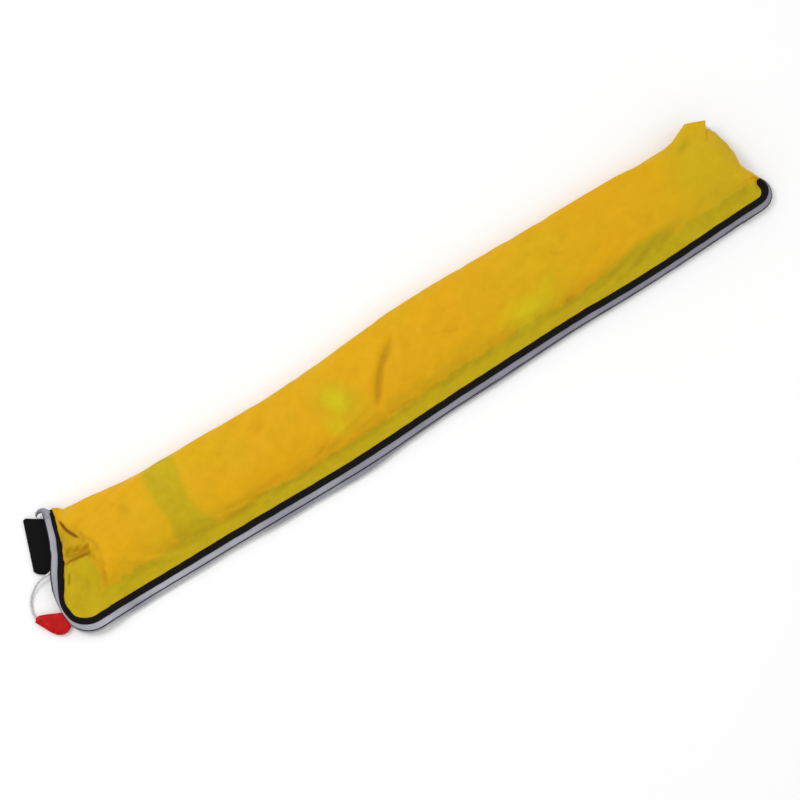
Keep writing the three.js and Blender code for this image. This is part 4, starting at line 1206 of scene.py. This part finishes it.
def belt_mesh():
    centres, frames = [], []
    path = np.array(belt_path(), float)
    along = np.gradient(path, axis=0)
    along /= np.linalg.norm(along, axis=1, keepdims=True)

    def section(i):
        past = min(max(0.0, 4 - (path[i, 0] - path[:, 0].min())), 4.0)
        half = BELT_WIDTH / 2 - (4 - math.sqrt(16 - past**2)) * 0.8
        top = [(-half, 0), (-half + 0.4, 0.5), (-half + 2, 0.48)]
        top += [(k, 0.5 if j % 2 else 0.42) for j, k in enumerate(np.linspace(-half + 4, half - 4, 19))]
        top += [(half - 2, 0.48), (half - 0.4, 0.5), (half, 0)]
        under = [(a, -b) for a, b in reversed(top[1:-1])]
        return [(a, b * BELT_THICK) for a, b in top + under]

    for (x, z), (dx, dz) in zip(path, along):
        heading = -BELT_TURN * max(0.0, (BELT_BEND - x) / BELT_RUN) ** 2
        centres.append(np.array([x, belt_centre(x), z]))
        aside = np.array([-math.sin(heading), math.cos(heading), 0])
        up = np.cross(np.array([dx * math.cos(heading), dx * math.sin(heading), dz]), aside)
        frames.append((aside, up / np.linalg.norm(up)))
    return swept("belt_webbing_woven", centres, frames, map(section, range(len(path))), WEBBING)


def build_belt():
    cloth_piece(belt_mesh(), "pack", "belt_webbing")
    for name, x in (("keeper_left", -200), ("keeper_right", -20)):
        rows = rounded([(-38, 4.3), (-34.4, 4.3), (-32.8, 2.1), (30.8, 2.1), (32.4, 4.3), (36, 4.3)], 2)
        grid = []
        for along in np.linspace(x - 15, x + 15, 13):
            shift = float(belt_centre(along)) + 1
            grid.append([(along, r + shift, h) for r, h in rows])
        keeper = sheet_mesh(name + "_woven", np.array(grid), 0.6, WEBBING)
        cloth_piece(keeper, "pack", name)


# ---------------------------------------------------------------- folded bladder
def bladder_section(low, high, y0, y1):
    """Outline of the folded stack: layers show as ridges on both sides, pleats on the top."""
    height = high - low
    layers = max(1, int(round(height / 5.5)))
    side = np.linspace(0, 1, 4 * layers + 1)
    ridge = np.abs(np.sin(np.pi * side * layers)) ** 0.6 * 2.2
    near = [(y0 + 2.2 - r, low + height * s) for s, r in zip(side, ridge)]
    far = [(y1 - 2.2 + r, low + height * s) for s, r in zip(side, ridge)]
    across = np.linspace(0.04, 0.96, 22)
    top = []
    for t in across:
        pleat = -1.1 * bump(t, 0.36, 0.03) - 1.1 * bump(t, 0.71, 0.03)
        top.append((y0 + (y1 - y0) * t, high + pleat * min(1, height / 8)))
    bottom = [(y0 + (y1 - y0) * t, low) for t in across[::-1]]
    line = near + top + far[::-1] + bottom
    return even(line + line[:1], 97)[:-1]


def build_bladder(fine):
    """A padded stack under the cover: it keeps clear of the cloth above and the back cover below."""
    tree = tree_of(fine)
    rings = []
    xs = stretches((-403, -206, 50), (-203, 398, 150))
    for x in xs:
        y0, y1 = (float(lower_edge(x) + (fold_edge(x) - lower_edge(x)) * a) for a in (0.185, 0.865))
        low = float(recess(x)) + 1.6
        # thin beside the inflator, thick in the rest of the pouch, rounded off at the right end
        high = max(low + 1.2, 8.0 + 25 * float(smooth(-204, -186, x)))
        end = float(smooth(398, 372, x))
        high = low + 2 + (high - low - 2) * end ** 0.5 if x > 300 else high
        ring = []
        for y, z in bladder_section(low, high, y0, y1):
            n = noise.fractal(Vector((x / 26, y / 15, 6.3)), 1.0, 2.0, 3)
            z = z + (n * 1.1 if z > low + 1 else 0)
            px = float(lean(x, y))
            hit = tree.ray_cast(Vector((px, y, -20)), Vector((0, 0, 1)))
            if hit[0] is not None:
                z = min(z, hit[0].z - 2.0)
            ring.append((px, y, max(z, low)))
        rings.append(ring)
    bladder = tube_mesh("bladder_folded", rings, BLADDER)
    cloth_piece(bladder, "pack", "bladder")
    return bladder


# ---------------------------------------------------------------- cord and toggle
# from the lever's tip to the toggle: x, y, height
CORD_ROUTE = [
    (-372.54, 30.67, 17.5), (-376, 29.75, 15.8), (-380.5, 28.5, 12.6), (-385, 27.2, 10.3),
    (-389.5, 25.8, 10), (-399, 22.4, 10), (-410, 18.5, 10), (-424, 13.8, 10), (-438.6, 9.6, 10),
    (-447.5, 9, 8.6), (-455.5, 7.2, 6.4), (-463.5, 2.6, 4), (-469.8, -3.4, 2.6), (-473.6, -10.4, 2.4),
    (-475.2, -17, 3), (-475.4, -23, 4),
]


def build_cord():
    line = catmull(CORD_ROUTE, 8) * MM
    curve = bpy.data.curves.new("pull_cord_line", "CURVE")
    curve.dimensions = "3D"
    spline = curve.splines.new("POLY")
    spline.points.add(len(line) - 1)
    for point, p in zip(spline.points, line):
        point.co = (*p, 1)
    curve.bevel_depth = 1.3 * MM
    curve.bevel_resolution = 5
    curve.use_fill_caps = True
    curve.materials.append(CORD)
    cord = bpy.data.objects.new("pull_cord_line", curve)
    bpy.context.collection.objects.link(cord)
    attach(cord, "toggle")
    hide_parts("pull_cord")
    return cord


def build_toggle():
    """A drop, from its tip at the cord's end to a round head, with rounded rims."""
    tip, turn = (-475.7, -23.6), math.radians(-43)
    outline = [(0.4, -3.6), (11, -7.6), (22, -11.6)]
    outline += [(26.4 + 11.8 * math.cos(a), 11.8 * math.sin(a)) for a in np.linspace(-2.05, 2.05, 25)]
    outline += [(11, 7.6), (0.4, 3.6)]
    loop = even(rounded(outline + outline[:1], 1), 97)[:-1]
    spine = np.stack([np.clip(loop[:, 0], 4.0, 27.0), 0 * loop[:, 1]], axis=1)
    reach = np.linalg.norm(loop - spine, axis=1, keepdims=True)
    # height, and how far the outline is drawn in there
    levels = [
        (0.2, 1.5), (0.5, 0.7), (1.4, 0.1), (3.9, 0.0), (5.8, 0.15), (6.7, 0.6), (7.2, 1.3), (7.45, 2.4),
        (7.55, 3.6), (7.6, 4.4),
    ]
    c, s = math.cos(turn), math.sin(turn)
    rings = []
    for z, inset in levels:
        drawn_in = loop + (spine - loop) * np.minimum(inset / reach, 0.9)
        rings.append([(tip[0] + u * c - v * s, tip[1] + u * s + v * c, z) for u, v in drawn_in])
    toggle = tube_mesh("pull_toggle_moulded", rings, RED)
    cloth_piece(toggle, "toggle", "pull_toggle")
    return toggle


# ---------------------------------------------------------------- hard parts inside
def build_hard_parts():
    """The CAD solids that stay in view get their looks."""
    for look, nodes in (
        (BLACK, "inflator_body inflator_lever cap_nut oral_valve_body oral_dust_cap"),
        (BLACK, "buckle_latch buckle_tongue"),
        (STEEL, "lever_pivot_pin firing_pin firing_spring manifold_stem co2_cylinder zip_slider zip_pull"),
        (RUBBER, "cylinder_seal gasket_lower gasket_upper oral_tube oral_tube_flange"),
        (GREEN_PLASTIC, "status_clip"),
        (RED, "oral_valve_plunger"),
    ):
        for node in nodes.split():
            materials = bpy.data.objects[node].data.materials
            materials.clear()
            materials.append(look)


# ---------------------------------------------------------------- stage
def build_stage():
    look = Look("floor", (0.93, 0.93, 0.93, 1), 0.9)
    cloudy = look.noise(0.7, 2.0)
    look.set("Base Color", look.tint(cloudy, 0.3, 0.7, (0.965, 0.965, 0.965, 1), (0.98, 0.98, 0.98, 1)))
    far = 6000
    corners = [(-far, -far, 0), (far, -far, 0), (far, far, 0), (-far, far, 0)]
    floor = new_mesh("floor", corners, [(0, 1, 2, 3)], look.material)
    world = bpy.data.worlds.new("studio")
    bpy.context.scene.world = world
    world.use_nodes = True
    background = world.node_tree.nodes["Background"]
    background.inputs["Color"].default_value = (1, 1, 1, 1)
    background.inputs["Strength"].default_value = 0.83
    for name, place, size, power in (
        ("key", (-0.9, 0.9, 1.9), 0.8, 13),
        ("fill", (1.6, -0.6, 1.8), 1.6, 3),
    ):
        data = bpy.data.lights.new(name, "AREA")
        data.shape, data.size, data.energy = "SQUARE", size, power
        lamp = bpy.data.objects.new(name, data)
        lamp.location = place
        lamp.rotation_mode = "QUATERNION"
        lamp.rotation_quaternion = (-Vector(place)).to_track_quat("-Z", "Y")
        bpy.context.collection.objects.link(lamp)
    bpy.context.scene.view_settings.view_transform = "Standard"


place_camera()
toggle = build_toggle()
build_cord()
cover, fine, across = build_front_cover()
build_corner_ear(fine)
strip = fold_strip(fine)
back_cover = build_back_cover()
build_lip()
build_tape_tail()
build_stitches(fine, across)
build_belt()
build_bladder(fine)
build_hard_parts()
build_stage()
